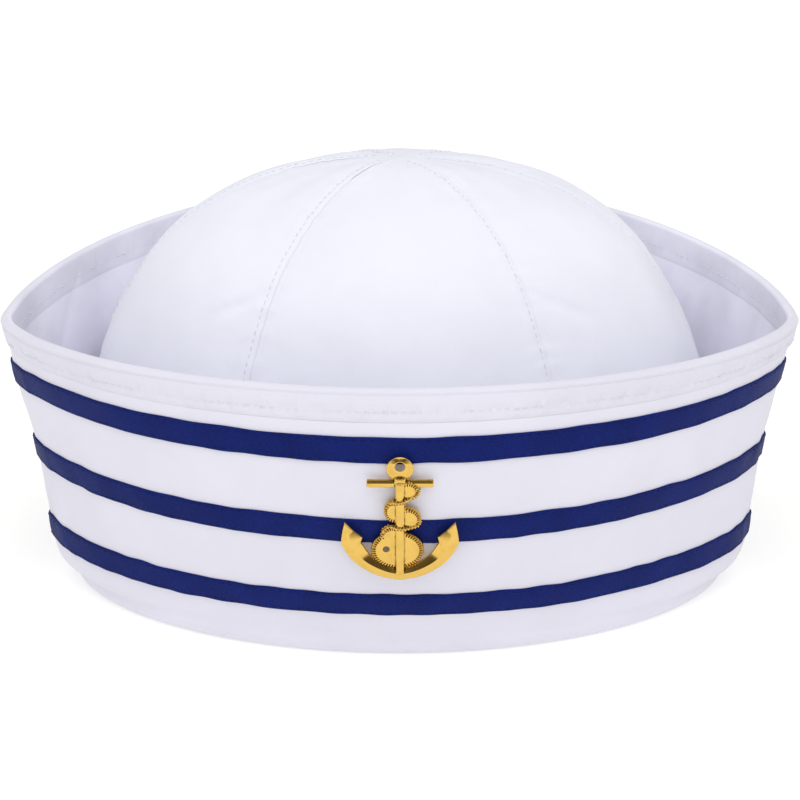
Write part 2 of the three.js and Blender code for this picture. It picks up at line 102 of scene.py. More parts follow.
# Badge: sizes in millimetres, because its metal is fused in a frame of its own. Places along it are
# shares of its height, up from its middle, but its own middle's and the pin's are shares of the cuff's.
BADGE_WIDTH = 35.2
BADGE_HEIGHT = 43.8
BADGE_SCALE = np.array([BADGE_WIDTH / 2, BADGE_HEIGHT])
BADGE_MIDDLE = 0.587
EYE_PLACE = 0.422
STOCK_PLACE = 0.313
EYE_SHIFT = 1.5
ARM_LIFT = 0.020
HOLE_LEAN = 0.45
HOLE_FACE = 1.9
ROPE_HOLE_RADIUS = 1.05
STOCK_HALF = 10.0
STOCK_HALF_HEIGHT = 1.15
SHANK_HALF = 1.5
SHANK_TOP = 0.33
SHANK_FOOT = 0.40
NECK_HALF = 1.8
NECK_TOP = 0.36
ARM_SLOPE = 0.22
PIN_PLACE = 0.67
POST_RADIUS = 0.8
CLUTCH_RADIUS = 4.5
CLUTCH_WALL = 2.2

# The badge's finish: how far it is softened, the angle from which an edge stays sharp, and how hollows
# are found
POLISH = 0.5
SHARP_EDGE = math.radians(50)
RECESS_ROUNDS = 10
RECESS_REACH = 0.11

# Grid lines round the cuff, the hem and a ribbon, across a gore, and up it below and above the place
# from which its rows lie closer
CUFF_STEPS = 432
HEM_STEPS = 1100
RIBBON_STEPS = 420
GORE_COLUMNS = 79
GORE_ROWS = 112
APEX_ROWS = 14
APEX_START = 0.94

# Steps along a surface that find its direction, and the last way up the crown where it has one
ANGLE_STEP = 0.02
SHARE_STEP = 0.01
APEX_WAY = 0.995

# Painted light on the cloth's inner side, which is painted lighter, and painted shade on the hem, which is
# painted darker, as shares of the cuff's own colour
INNER_PAINTED_LIGHT = 1.13
HEM_PAINTED_SHADE = 0.965

# Stage: where the lights aim, the floor's size and how bright the camera sees the surround
CAP_MIDDLE = (0, 0, 0.06)
FLOOR_SIZE = (12.0, 12.0)
SEEN_SKY = 1.05

# Soft waves of cloth: seed, fewest and most turns round the cap, and most rises up it
WAVES = {
    "cuff_broad": (11, (2, 9), 0.8),
    "cuff_fine": (12, (12, 34), 1.9),
    "cuff_crease": (13, (4, 13), 2.2),
    "hem_gather": (21, (20, 90), 0.0),
    "crown_broad": (41, (2, 7), 1.2),
    "crown_fine": (42, (9, 22), 3.5),
}
EDGE_WAVE = ((9, 60), 0.0)
SLACK_WAVE = ((14, 48), 0.5)
RIBBON_SEED = 31
SEAM_SEED = 60

# Angles once round the cap from its back, for paths along its rim and ribbons
ONCE_ROUND = np.linspace(BACK_ANGLE, BACK_ANGLE + FULL_TURN, 4001)

# The cuff's face: height, width, front, rear (shares of the named sizes) and pinch
CUFF_SECTIONS = np.array([
    [0.104, 0.884, 0.803, 0.866, 1.28],
    [0.150, 0.893, 0.820, 0.874, 1.32],
    [0.242, 0.901, 0.862, 0.888, 1.38],
    [0.461, 0.921, 0.940, 0.919, 1.40],
    [0.565, 0.934, 0.968, 0.931, 1.40],
    [0.750, 0.964, 0.998, 0.960, 1.41],
    [0.842, 0.977, 1.000, 0.976, 1.38],
    [0.923, 0.989, 0.989, 0.988, 1.31],
    [1.000, 1.000, 0.972, 1.000, 1.25],
])

# The crown's face: way, height, width, front, rear, back (shares of the named sizes) and pinch
CROWN_SECTIONS = np.array([
    [0.00, 0.000, 1.000, 1.000, 1.000, 0.00, 1.24],
    [0.05, 0.073, 1.000, 1.000, 1.000, 0.00, 1.24],
    [0.18, 0.262, 1.012, 1.120, 0.960, 0.32, 1.16],
    [0.30, 0.440, 1.008, 1.180, 0.870, 0.63, 1.08],
    [0.39, 0.570, 0.966, 1.170, 0.790, 0.84, 1.03],
    [0.49, 0.704, 0.870, 1.080, 0.680, 1.00, 1.00],
    [0.58, 0.806, 0.765, 0.930, 0.580, 1.00, 1.00],
    [0.66, 0.878, 0.640, 0.750, 0.475, 1.00, 1.00],
    [0.74, 0.932, 0.505, 0.565, 0.360, 1.00, 1.00],
    [0.83, 0.972, 0.345, 0.365, 0.235, 1.00, 1.00],
    [0.91, 0.992, 0.190, 0.190, 0.125, 1.00, 1.00],
    [1.00, 1.000, 0.000, 0.000, 0.000, 1.00, 1.00],
])

# The left half of the anchor's arms from fluke tip to crown: outer, ridge and inner lines, each across
# and down, as shares of the badge's half width and of its height below the middle
ARM_SECTIONS = np.array([
    [0.943, 0.02, 0.940, 0.03, 0.930, 0.03],
    [0.985, 0.10, 0.880, 0.11, 0.790, 0.09],
    [1.000, 0.17, 0.830, 0.17, 0.640, 0.14],
    [0.950, 0.23, 0.780, 0.22, 0.665, 0.185],
    [0.800, 0.32, 0.640, 0.30, 0.530, 0.27],
    [0.560, 0.40, 0.430, 0.36, 0.360, 0.33],
    [0.290, 0.45, 0.210, 0.40, 0.170, 0.37],
    [0.000, 0.47, 0.000, 0.42, 0.000, 0.385],
])
FLUKE_ROWS = 4

# The rope's two crossings over the shank, across and up, in the same shares
ROPE_CROSSINGS = (
    np.array([
        [0.32, 0.278], [0.29, 0.234], [0.18, 0.204], [0.01, 0.180], [-0.14, 0.172], [-0.24, 0.130],
    ]),
    np.array([
        [0.34, 0.022], [0.29, -0.016], [0.14, -0.030], [-0.03, -0.026], [-0.19, -0.024], [-0.31, -0.060],
    ]),
)

# The fans of metal that the rope's turns make beside the shank: across, up, half width and half
# height, in the same shares
ROPE_FANS = np.array([
    [0.130, 0.254, 0.200, 0.074],
    [-0.078, 0.098, 0.200, 0.092],
    [0.130, 0.034, 0.228, 0.085],
    [-0.130, -0.099, 0.212, 0.073],
    [-0.043, -0.212, 0.452, 0.145],
])
# Millimetres between which the rope rises over the shank, and between which a fan's notches end
ROPE_RISE = (1.4, 3.4)
NOTCH_END = (0.8, 1.3)
ROPE_HOLE = np.array([-0.235, -0.200])


# Curves and surfaces of the cap


def between(low, high, value):
    """Rises smoothly from 0 at low to 1 at high, as three squares less two cubes."""
    t = np.clip((value - low) / (high - low), 0, 1)
    return t * t * (3 - 2 * t)


def bump(value, width):
    """A bell curve of the given width: the exponential of minus the square of value over width."""
    return np.exp(-((value / width) ** 2))


def unit(vectors):
    """Vectors divided by their lengths."""
    return vectors / np.linalg.norm(vectors, axis=-1, keepdims=True)


def swing(angle, centre):
    """The turn from a centre angle to an angle, at most half a turn either way round."""
    return np.remainder(angle - centre + math.pi, FULL_TURN) - math.pi


def from_back(angle):
    """The angle's distance from the back of the cap, either way round."""
    return np.abs(swing(angle, BACK_ANGLE))


def gore_angle(gore, across):
    """The angle at a place across a gore, from -1 to 1 between its seams."""
    return FRONT_ANGLE + (gore + across / 2) * FULL_TURN / GORES


def cubic(t, start, end, start_slope, end_slope, span=1.0):
    """The cubic from start to end with the given slopes, at shares t of its span."""
    hold = (2 * t**3 - 3 * t**2 + 1) * start + (3 * t**2 - 2 * t**3) * end
    lean = (t**3 - 2 * t**2 + t) * start_slope + (t**3 - t**2) * end_slope
    return hold + lean * span


def row_at(table, places):
    """Columns of a section table at places along its first column: a cubic between each two rows, whose
    slope at a row is that of the chord between the rows on either side."""
    places = np.asarray(places, float)
    last = len(table) - 1
    k = np.clip(np.searchsorted(table[:, 0], places) - 1, 0, last - 1)
    start, end = table[k], table[k + 1]
    before, after = table[np.maximum(k - 1, 0)], table[np.minimum(k + 2, last)]
    span = end[..., :1] - start[..., :1]
    t = (places[..., None] - start[..., :1]) / span
    slope_in = (end - before) / (end[..., :1] - before[..., :1])
    slope_out = (after - start) / (after[..., :1] - start[..., :1])
    return np.moveaxis(cubic(t, start, end, slope_in, slope_out, span), -1, 0)


def plan(angle, width, front, rear, pinch):
    """A plan outline: width times the cosine across, and front or rear times the sine to the power of
    pinch along, which sharpens the side tips."""
    across = np.sin(angle)
    reach = np.where(across < 0, front, rear)
    x = width * np.cos(angle)
    y = np.sign(across) * reach * np.abs(across) ** pinch
    return x, y


def head_outline(angle, out, height):
    """The head opening's outline moved out along its own normal, at a height."""
    def at(a):
        return np.stack(plan(a, HEAD_HALF_WIDTH, HEAD_FRONT, HEAD_REAR, HEAD_PINCH), -1)

    angle, out, height = np.broadcast_arrays(angle, out, height)
    along = unit(at(angle + ANGLE_STEP) - at(angle - ANGLE_STEP))
    point = at(angle)
    x = point[..., 0] + along[..., 1] * out
    y = point[..., 1] - along[..., 0] * out + SIDE_TIPS_Y
    return np.stack([x, y, height], -1)


def rim_lift(angle):
    """How far the rim rises: none at the side tips and full at the front or the rear."""
    across = np.sin(angle)
    return np.where(across < 0, RIM_FRONT_LIFT, RIM_REAR_LIFT) * np.abs(across) ** HEAD_PINCH


def cuff_face(angle, share):
    """The cuff's outer face, a plan outline whose sizes follow the section table up the wall."""
    angle, share = np.broadcast_arrays(angle, share)
    _, width, front, rear, pinch = row_at(CUFF_SECTIONS, share)
    x, y = plan(angle, width * CUFF_HALF_WIDTH, front * CUFF_FRONT, rear * CUFF_REAR, pinch)
    z = share * (CUFF_WALL_HEIGHT + rim_lift(angle))
    return np.stack([x, y + SIDE_TIPS_Y, z], -1)


def crown_face(angle, way):
    """The crown's outer face, a plan outline whose sizes follow the section table up the cloth."""
    angle, way = np.broadcast_arrays(angle, way)
    _, height, width, front, rear, back, pinch = row_at(CROWN_SECTIONS, way)
    sizes = (width * HEAD_HALF_WIDTH, front * HEAD_FRONT, rear * HEAD_REAR)
    x, y = plan(angle, *(np.maximum(size, APEX_RADIUS) for size in sizes), pinch)
    y = y + back * CROWN_SET_BACK + SIDE_TIPS_Y
    return np.stack([x, y, FOLD_CENTRE + height * (CROWN_HEIGHT - FOLD_CENTRE)], -1)


def directions(surface, angle, share):
    """Unit vectors round a surface, up it and out of it, from short steps along it."""
    along = unit(surface(angle + ANGLE_STEP, share) - surface(angle - ANGLE_STEP, share))
    rise = surface(angle, np.minimum(share + SHARE_STEP, 1)) - surface(angle, share - SHARE_STEP)
    out = unit(np.cross(along, rise))
    return along, unit(np.cross(out, along)), out


def cuff_at(angle, share, out, above=0.0):
    """A point off the cuff's face: out along its normal and above along its wall."""
    angle, share, out, above = np.broadcast_arrays(angle, share, out, above)
    _, up, normal = directions(cuff_face, angle, share)
    return cuff_face(angle, share) + normal * out[..., None] + up * above[..., None]


def waves(angle, up, seed, turns, rises, count=12):
    """Soft cloth: a sum of cosines whose whole turns round the cap, rises up it and phases come from a
    seeded draw, scaled so that it stays near one."""
    draw = np.random.default_rng(seed)
    total = np.zeros(np.broadcast(angle, up).shape)
    for _ in range(count):
        around = draw.integers(turns[0], turns[1] + 1)
        rise = draw.uniform(-rises, rises)
        total += np.cos(around * angle + FULL_TURN * rise * up + draw.uniform(0, FULL_TURN))
    return total * math.sqrt(2 / count) / 1.6


def cuff_wave(angle, share):
    """How far the cuff's cloth stands off its plain face: broad waves and finer creases, stronger at the
    rear and the side tips than at the front, and a shallow dip at the back seam."""
    cap = bpy.context.scene.sailor_cloth
    rear = between(-0.6, 0.7, np.sin(angle))
    broad = waves(angle, share, *WAVES["cuff_broad"])
    fine = waves(angle, share, *WAVES["cuff_fine"])
    crease = 1 - 2 * np.abs(waves(angle, share, *WAVES["cuff_crease"]))
    free = between(1.02, 0.8, share) * between(-0.05, 0.25, share)
    height = (0.25 + 0.75 * rear) * broad + (0.12 + 0.3 * rear) * fine
    height = height + (0.1 + 0.35 * rear) * np.maximum(crease, 0) ** 2
    seam = bump(from_back(angle) * CUFF_HALF_WIDTH, cap.seam_groove * 2)
    return cap.wrinkle_height * height * (0.3 + 0.7 * free) - cap.seam_groove * seam


# Meshes


def grid_faces(rows, columns, closed_rows, closed_columns):
    """Quads that join the points of a grid, wrapped round in one or both directions."""
    i = np.arange(rows if closed_rows else rows - 1)
    j = np.arange(columns if closed_columns else columns - 1)
    i, j = np.meshgrid(i, j, indexing="ij")
    i_next, j_next = (i + 1) % rows, (j + 1) % columns
    corners = [i * columns + j, i_next * columns + j, i_next * columns + j_next, i * columns + j_next]
    return np.stack([c.ravel() for c in corners], -1)


def signed_volume(points, faces):
    """Six times the volume inside quads: the sum of the triple products of their triangles' corners."""
    a, b, c, d = (points[faces[:, k]] for k in range(4))
    first = np.einsum("ij,ij->i", a, np.cross(b, c))
    second = np.einsum("ij,ij->i", a, np.cross(c, d))
    return float((first + second).sum())


def values_of(items, attribute, width, kind=float):
    """One attribute of all of a mesh's items as an array with width numbers in a row."""
    values = np.empty(len(items) * width, kind)
    items.foreach_get(attribute, values)
    return values.reshape(-1, width)


def store_mask(mesh, name, values):
    """Stores a number for every point of a mesh under a name that materials can read."""
    mask = mesh.attributes.new(name, "FLOAT", "POINT")
    mask.data.foreach_set("value", values.astype(np.float32))


def shade_smooth(mesh, smooth=True):
    """Shades all of a mesh's faces smooth, or all of them flat."""
    mesh.polygons.foreach_set("use_smooth", np.full(len(mesh.polygons), smooth))


def linked_object(name, data):
    """A new object in the scene with the given mesh, light or camera."""
    obj = bpy.data.objects.new(name, data)
    bpy.context.scene.collection.objects.link(obj)
    return obj


def mesh_object(name, points, faces, uv=None, smooth=True):
    """An object with the given points and faces, faces pointing out, and a UV map in metres."""
    points = np.asarray(points, float).reshape(-1, 3)
    if faces.shape[1] == 4 and signed_volume(points, faces) < 0:
        faces = faces[:, ::-1]
    mesh = bpy.data.meshes.new(name)
    mesh.from_pydata(points.tolist(), [], faces.tolist())
    if uv is not None:
        layer = mesh.uv_layers.new(name="cloth")
        corner = values_of(mesh.loops, "vertex_index", 1, np.int32)[:, 0]
        layer.data.foreach_set("uv", np.asarray(uv, np.float32).reshape(-1, 2)[corner].ravel())
    shade_smooth(mesh, smooth)
    mesh.update()
    return linked_object(name, mesh)


def finish_piece(obj, material, slot, *nodes):
    """Gives a piece its material and its body, and hides the parts of the nodes that it stands for. The slot
    is not used.
    """
    obj.data.materials.append(material)
    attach(obj, "root")
    if nodes:
        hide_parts(*nodes)


def mark_inner_side(obj):
    """Stores a mask of a ring's inner side on its mesh, from how far each normal points inwards; the cotton
    paints light there.
    """
    points = values_of(obj.data.vertices, "co", 3)
    normals = values_of(obj.data.vertex_normals, "vector", 3, np.float32)
    outwards = unit((points - points.mean(axis=0))[:, :2])
    facing = np.einsum("ij,ij->i", normals[:, :2], outwards)
    store_mask(obj.data, "inner_side", between(0.1, -0.4, facing))


def lengths_along(points, axis):
    """Distance along one axis of a grid of points, from its first row, in metres."""
    steps = np.linalg.norm(np.diff(points, axis=axis), axis=-1)
    start = np.zeros_like(np.take(steps, [0], axis=axis))
    return np.concatenate([start, np.cumsum(steps, axis=axis)], axis=axis)


def cloth_uv(points):
    """A UV for a grid of points, in metres: along its first axis at its middle row, and across it."""
    along = lengths_along(points, 0)
    middle = along[:, points.shape[1] // 2]
    across = lengths_along(points, 1)
    u = np.broadcast_to(middle[:, None], points.shape[:2])
    return np.stack([u, across], -1)


def ring_angles(count, extra=()):
    """Angles round the cap from its back, with extra ones where detail is fine."""
    even = BACK_ANGLE + np.arange(count) * FULL_TURN / count
    return np.unique(np.concatenate([even, np.asarray(extra, float)]))


def swept_ring(name, section, angles):
    """A closed solid: one closed section at each angle, joined all round. The section function takes
    a column of angles and returns a grid of points."""
    points = section(angles[:, None])
    seam = np.concatenate([points, points[:1]])
    faces = grid_faces(*seam.shape[:2], False, True)
    obj = mesh_object(name, seam, faces, cloth_uv(seam))
    weld(obj)
    return obj


def weld(obj, distance=1e-7):
    """Merges points that lie in the same place."""
    work = bmesh.new()
    work.from_mesh(obj.data)
    bmesh.ops.remove_doubles(work, verts=work.verts, dist=distance)
    work.to_mesh(obj.data)
    work.free()
    obj.data.update()


# Cuff, hem and ribbons


def cuff_bend(angle, out, fold_out, steps):
    """The cuff's wall from its lowest table row down into the fold, a cubic that leaves the wall along
    its slope and meets the fold going straight down."""
    low = CUFF_SECTIONS[0, 0]
    wave = cuff_wave(angle, low)
    top = cuff_at(angle, low, out + wave)[:, 0]
    below = cuff_at(angle, low + SHARE_STEP, out + wave)[:, 0]
    foot = head_outline(angle[:, 0], CROWN_INSET + fold_out, FOLD_CENTRE)
    reach = np.linalg.norm(foot - top, axis=-1, keepdims=True)
    down = np.zeros_like(foot)
    down[:, 2] = -1
    shares = np.linspace(0, 1, steps)[1:-1, None]
    ends = (top, foot, unit(top - below) * reach, down * reach)
    return cubic(shares, *(end[:, None] for end in ends))


def fold_arc(angle, radius, steps):
    """Half a circle under the head outline, flat where it would dip below the surface it rests on."""
    turn = np.linspace(0, math.pi, steps)
    depth = FOLD_CENTRE - radius * np.sin(turn)
    return head_outline(angle, CROWN_INSET + radius * np.cos(turn), np.maximum(depth, 0))


def cuff_section(angle):
    """The cuff's section: outer face down from the rim, fold, turned-in edge, and back up inside."""
    low = CUFF_SECTIONS[0, 0]
    down = np.linspace(1, low, 72)
    up = np.linspace(low, 1, 52)
    inner_radius = FOLD_RADIUS - CUFF_WALL
    edge = np.linspace(0, math.pi, 6)
    middle = CROWN_INSET - FOLD_RADIUS + CUFF_WALL / 2
    lip = head_outline(
        angle,
        middle - CUFF_WALL / 2 * np.cos(edge),
        FOLD_CENTRE + TURN_IN - CUFF_WALL / 2 + CUFF_WALL / 2 * np.sin(edge),
    )
    return np.concatenate([
        cuff_at(angle, down, cuff_wave(angle, down)),
        cuff_bend(angle, 0.0, FOLD_RADIUS, 10),
        fold_arc(angle, FOLD_RADIUS, 16),
        lip,
        fold_arc(angle, inner_radius, 12)[:, ::-1],
        cuff_bend(angle, -CUFF_WALL, inner_radius, 8)[:, ::-1],
        cuff_at(angle, up, cuff_wave(angle, up) - CUFF_WALL),
    ], axis=1)


# The hem from its lower outer edge over the rim to its lower inner edge. turn is the place along it,
# off the distance off the cuff's wall and above the height over the wall's upper edge, millimetres.
HEM_OUTER = np.array([
    [-8.3, 0.03], [-7.9, 0.16], [-7.2, 0.42], [-6.2, 0.62], [-5.4, 0.66], [-4.6, 0.72], [-3.6, 0.86],
    [-2.4, 0.98], [-1.2, 1.05], [-0.75, 1.02], [-0.5, 0.86], [-0.25, 0.74], [0.0, 0.86], [0.3, 1.06],
])
HEM_ROLL_RADIUS = 1.9
HEM_INNER = np.array([
    [0.3, 1.13], [-0.4, 1.08], [-1.4, 0.98], [-2.8, 0.84], [-4.2, 0.68], [-5.4, 0.5], [-6.4, 0.34],
    [-7.4, 0.18], [-8.2, 0.02], [-8.7, -0.2],
])
HEM_ROLL_FLATNESS = 0.82
HEM_STITCH_DEPTH = 5.1 * MM
HEM_STITCH_SHARE = 0.94


def stitch_phase(angle):
    """Distance round the rim from the back, in stitches."""
    cap = bpy.context.scene.sailor_cloth
    ring = lengths_along(cuff_face(ONCE_ROUND, HEM_STITCH_SHARE), 0)
    return np.interp(angle, ONCE_ROUND, ring) / cap.stitch_pitch


def hem_pucker(angle, above):
    """The hem's puckers: the cloth is drawn in at each stitch of its row and swells between, less and
    less away from the row."""
    cap = bpy.context.scene.sailor_cloth
    near = bump(above + HEM_STITCH_DEPTH, 2.3 * MM)
    row = bump(above + HEM_STITCH_DEPTH, 0.7 * MM)
    phase = stitch_phase(angle)
    drift = waves(angle, 0 * above, *WAVES["hem_gather"])
    gather = np.cos(FULL_TURN * phase / 2.6 + 2.2 * drift)
    pinch = 0.5 - 0.5 * np.cos(FULL_TURN * phase)
    swell = cap.pucker_height * near * (0.55 * gather + 0.5 * drift)
    return swell - cap.pucker_height * row * (1.1 - 0.9 * pinch)


def hem_section(angle):
    """The hem's section: a band down the outer face, a roll over the rim and a band down inside."""
    share_of = 1 / (CUFF_WALL_HEIGHT + RIM_FRONT_LIFT)
    outer = HEM_OUTER * MM
    inner = HEM_INNER * MM
    turn = np.linspace(0.12, math.pi - 0.12, 13)
    roll_off = (HEM_ROLL_RADIUS * np.cos(turn)) * MM - CUFF_WALL / 2
    roll_above = 0.35 * MM + HEM_ROLL_RADIUS * np.sin(turn) * HEM_ROLL_FLATNESS * MM
    parts = []
    for above, off, inside in ((outer[:, 0], outer[:, 1], 1), (inner[:, 0], inner[:, 1], -1)):
        share = np.minimum(1 + above * share_of, 1)
        rise = np.maximum(above, 0)
        pucker = hem_pucker(angle, above) * between(0, 0.5 * MM, off) * (1 if inside > 0 else 0.3)
        base = 0.0 if inside > 0 else -CUFF_WALL
        reach = base + cuff_wave(angle, share) + inside * (off + pucker)
        parts.append(cuff_at(angle, share, reach, rise))
    roll = cuff_at(angle, np.ones_like(turn), roll_off + cuff_wave(angle, np.ones_like(turn)), roll_above)
    share = 1 + np.array([-7.5, -3, 0]) * MM * share_of
    back_in = cuff_at(angle, share, cuff_wave(angle, share) - CUFF_WALL - 0.05 * MM)
    share = 1 + np.array([0, -3, -8.3]) * MM * share_of
    back_out = cuff_at(angle, share, cuff_wave(angle, share) + 0.02 * MM)
    return np.concatenate([parts[0], roll, parts[1], back_in, back_out], axis=1)


def make_ribbon(name, middle):
    """A ribbon: a thin band with rounded selvedges that wander a little, and its end lapped over its
    start at the back."""
    ribbon = bpy.context.scene.sailor_ribbon
    seed = RIBBON_SEED + list(RIBBONS).index(name)
    lap = ribbon.lap_length / 2 / CUFF_HALF_WIDTH
    fine = np.linspace(-0.006, 0.006, 13)
    ends = np.concatenate([BACK_ANGLE + lap + fine, BACK_ANGLE + FULL_TURN - lap + fine])
    across = np.concatenate([
        [-1, -1, -0.985, -0.95, -0.88, -0.78],
        np.linspace(-0.66, 0.66, 11),
        [0.78, 0.88, 0.95, 0.985, 1, 1],
    ])
    lift = np.concatenate([
        [0.0, 0.35, 0.66, 0.84, 0.93, 0.98],
        1 - 0.10 * np.linspace(-1, 1, 11) ** 2 + 0.08,
        [0.98, 0.93, 0.84, 0.66, 0.35, 0.0],
    ])
    back = np.linspace(0.9, -0.9, 7)

    def section(angle):
        low_edge = waves(angle, 0 * angle, seed, *EDGE_WAVE)
        high_edge = waves(angle, 0 * angle, seed + 10, *EDGE_WAVE)
        drift = np.where(across > 0, high_edge, low_edge) * ribbon.edge_wander
        above = across * RIBBON_WIDTH / 2 + drift * np.abs(across)
        share = middle + above / CUFF_WALL_HEIGHT
        doubled = 1 + LAP_BULGE * between(lap + 0.002, lap - 0.001, from_back(angle))
        slack = 0.06 * waves(angle, across, seed + 20, *SLACK_WAVE)
        off = ribbon.thickness * (lift * doubled + slack * between(0, 0.3, lift))
        face = cuff_at(angle, share, cuff_wave(angle, share) + RIBBON_LIFT + off)
        back_share = middle + back * RIBBON_WIDTH / 2 / CUFF_WALL_HEIGHT
        under = cuff_at(angle, back_share, cuff_wave(angle, back_share) + RIBBON_LIFT)
        return np.concatenate([face, under], axis=1)

    return swept_ring(name + "_satin", section, ring_angles(RIBBON_STEPS, ends))


# Crown


def seam_fade(way):
    """How strongly seam detail shows along the cloth: none at the sewn edge and at the apex."""
    return between(0.0, 0.05, way) * between(0.99, 0.8, way)


def gore_dip(across, way):
    """How far a gore dips towards its seams: the fourth power of the place across it times the squared
    sine of the way up it."""
    return SEAM_DIP * across**4 * np.sin(math.pi * way) ** 2


def seam_cloth(distance, side, way, seam):
    """Height of the cloth beside a seam: a valley on the seam line, the seam allowance raised under one
    side as far as its own edge, a dip along the topstitching, and puckers that die away from it."""
    cap = bpy.context.scene.sailor_cloth
    valley = -SEAM_VALLEY * bump(distance, 0.6 * MM)
    width = cap.seam_allowance
    under = between(width + 1.6 * MM, width - 0.8 * MM, distance)
    lap = np.where(side > 0, 1.0, 0.35) * under * LAP_HEIGHT
    thread = -THREAD_DIP * bump(distance - cap.topstitch_offset, 0.5 * MM)
    draw = np.random.default_rng(SEAM_SEED + seam)
    pucker = np.zeros(np.broadcast(distance, way).shape)
    for _ in range(9):
        turns = draw.uniform(9, 46)
        slant = draw.uniform(-1, 1) * 60
        pucker = pucker + np.cos(FULL_TURN * (turns * way + slant * distance) + draw.uniform(0, FULL_TURN))
    pucker = pucker / 4 * (0.55 * bump(distance, 5 * MM) + 0.35 * bump(distance, 11 * MM))
    return (valley + lap + thread) * MM + cap.pucker_height * 0.6 * pucker


# Short creases and dents in the crown: seam number, place across from it in gores, way, half length
# round and up the cloth, turn and depth, in millimetres and degrees
CREASES = np.array([
    [0, -0.10, 0.10, 16, 9, 20, -0.9],
    [1, 0.10, 0.10, 16, 9, -20, -0.9],
    [0, -0.13, 0.52, 11, 2.4, 35, -0.7],
    [1, 0.12, 0.52, 11, 2.4, -35, -0.7],
    [0, 0.12, 0.72, 12, 2.6, -28, -0.6],
    [1, -0.12, 0.72, 12, 2.6, 28, -0.6],
    [0, 0.30, 0.93, 5, 1.6, -40, -0.6],
    [1, -0.30, 0.93, 5, 1.6, 40, -0.6],
    [2, 0.15, 0.55, 12, 2.5, 30, -0.7],
    [5, -0.15, 0.55, 12, 2.5, -30, -0.7],
    [3, 0.10, 0.40, 14, 3.0, 25, -0.8],
    [4, -0.14, 0.48, 14, 3.0, -25, -0.8],
])


def crown_wave(angle, way):
    """The crown's soft unevenness: broad waves, finer ones and a few short creases, none at the edge."""
    cap = bpy.context.scene.sailor_cloth
    fade = between(0, 0.08, way) * between(1.0, 0.9, way)
    broad = waves(angle, way, *WAVES["crown_broad"])
    fine = waves(angle, way, *WAVES["crown_fine"])
    height = (0.6 * broad + 0.22 * fine) * cap.wrinkle_height * fade
    radius = np.sqrt(np.maximum(1 - way**2, 0.02)) * HEAD_HALF_WIDTH
    rise = 1.7 * (CROWN_HEIGHT - FOLD_CENTRE)
    for seam, aside, place, long, short, turn, depth in CREASES:
        centre = FRONT_ANGLE + (seam - 0.5 + aside) * FULL_TURN / GORES
        x, y = swing(angle, centre) * radius / MM, (way - place) * rise / MM
        c, s = math.cos(math.radians(turn)), math.sin(math.radians(turn))
        along, over = c * x + s * y, c * y - s * x
        height = height + depth * MM * bump(along, long) * (bump(over, short) - 0.3 * bump(over, 2 * short))
    return height


def gore_grid(gore, inside):
    """One face of a gore. Its points gather towards its seams, and it stands off the plain crown by its
    dip, waves and seam detail. A flat tape covers the seams' inner side, and a hair's gap parts two
    gores."""
    spread = np.linspace(-1, 1, GORE_COLUMNS)[:, None]
    across = np.sign(spread) * (1 - (1 - np.abs(spread)) ** 1.7)
    way = np.concatenate([np.linspace(0, APEX_START, GORE_ROWS), np.linspace(APEX_START, 1, APEX_ROWS)[1:]])
    way = way[None, :]
    angle = gore_angle(gore, across)
    face = crown_face(angle, way)
    half_width = lengths_along(face, 0)[-1] / 2
    distance = (1 - np.abs(across)) * half_width
    seam = np.where(across < 0, gore, (gore + 1) % GORES)
    detail = np.zeros(face.shape[:2])
    for number in (gore, (gore + 1) % GORES):
        own = seam == number
        detail = np.where(own, seam_cloth(distance, across, way, number), detail)
    fade = seam_fade(way)
    _, _, normal = directions(crown_face, angle, np.minimum(way, APEX_WAY))
    off = crown_wave(angle, way) - gore_dip(across, way) + detail * fade
    if inside:
        tape = between(*SEAM_TAPE_EDGES, distance) * SEAM_TAPE_WALL
        off = off - detail * fade * 0.7 - CROWN_WALL - tape * fade
    points = face + normal * off[..., None]
    along, _, _ = directions(crown_face, angle, way)
    back_off = np.where(np.abs(across) == 1, -across * GORE_GAP, 0) * np.ones_like(way)
    return points + along * back_off[..., None]


def make_gore(gore):
    """A gore of the crown: its outer and inner faces joined at its edges into one closed solid."""
    outer = gore_grid(gore, False)
    inner = gore_grid(gore, True)
    points = np.concatenate([outer, inner[:, ::-1]], axis=1)
    uv = np.concatenate([cloth_uv(outer), cloth_uv(inner)[:, ::-1]], axis=1)
    faces = grid_faces(*points.shape[:2], False, True)
    columns = points.shape[1]
    half = columns // 2
    k = np.arange(half - 1)
    first = np.stack([k, k + 1, columns - 2 - k, columns - 1 - k], -1)
    last = (points.shape[0] - 1) * columns + first[:, ::-1]
    return mesh_object(f"crown_gore_{gore + 1}", points, np.concatenate([faces, first, last]), uv)


# Stitches


def capsules(name, centres, tangents, normals, length, radius, lift):
    """Joined thread stitches: each a tube of five rings along its tangent that tapers and dips at both
    ends, and stands lift above the cloth in its middle."""
    sides = 6
    along = np.array([-1, -0.72, 0, 0.72, 1])
    girth = np.array([0.28, 0.86, 1.0, 0.86, 0.28])
    rise = lift - np.array([1.25, 0.25, 0, 0.25, 1.25]) * radius
    turn = np.arange(sides) * FULL_TURN / sides
    side = unit(np.cross(tangents, normals))
    ring = (
        normals[:, None, None] * np.cos(turn)[:, None] + side[:, None, None] * np.sin(turn)[:, None]
    ) * (radius * girth[:, None, None])
    spine = tangents[:, None] * (along * length / 2)[:, None] + normals[:, None] * rise[:, None]
    points = centres[:, None, None] + spine[:, :, None] + ring
    one = grid_faces(len(along), sides, False, True)
    count = len(centres)
    faces = (one[None] + (np.arange(count) * len(along) * sides)[:, None, None]).reshape(-1, 4)
    obj = mesh_object(name, points, faces)
    weld_ends(obj, len(along), sides, count)
    return obj


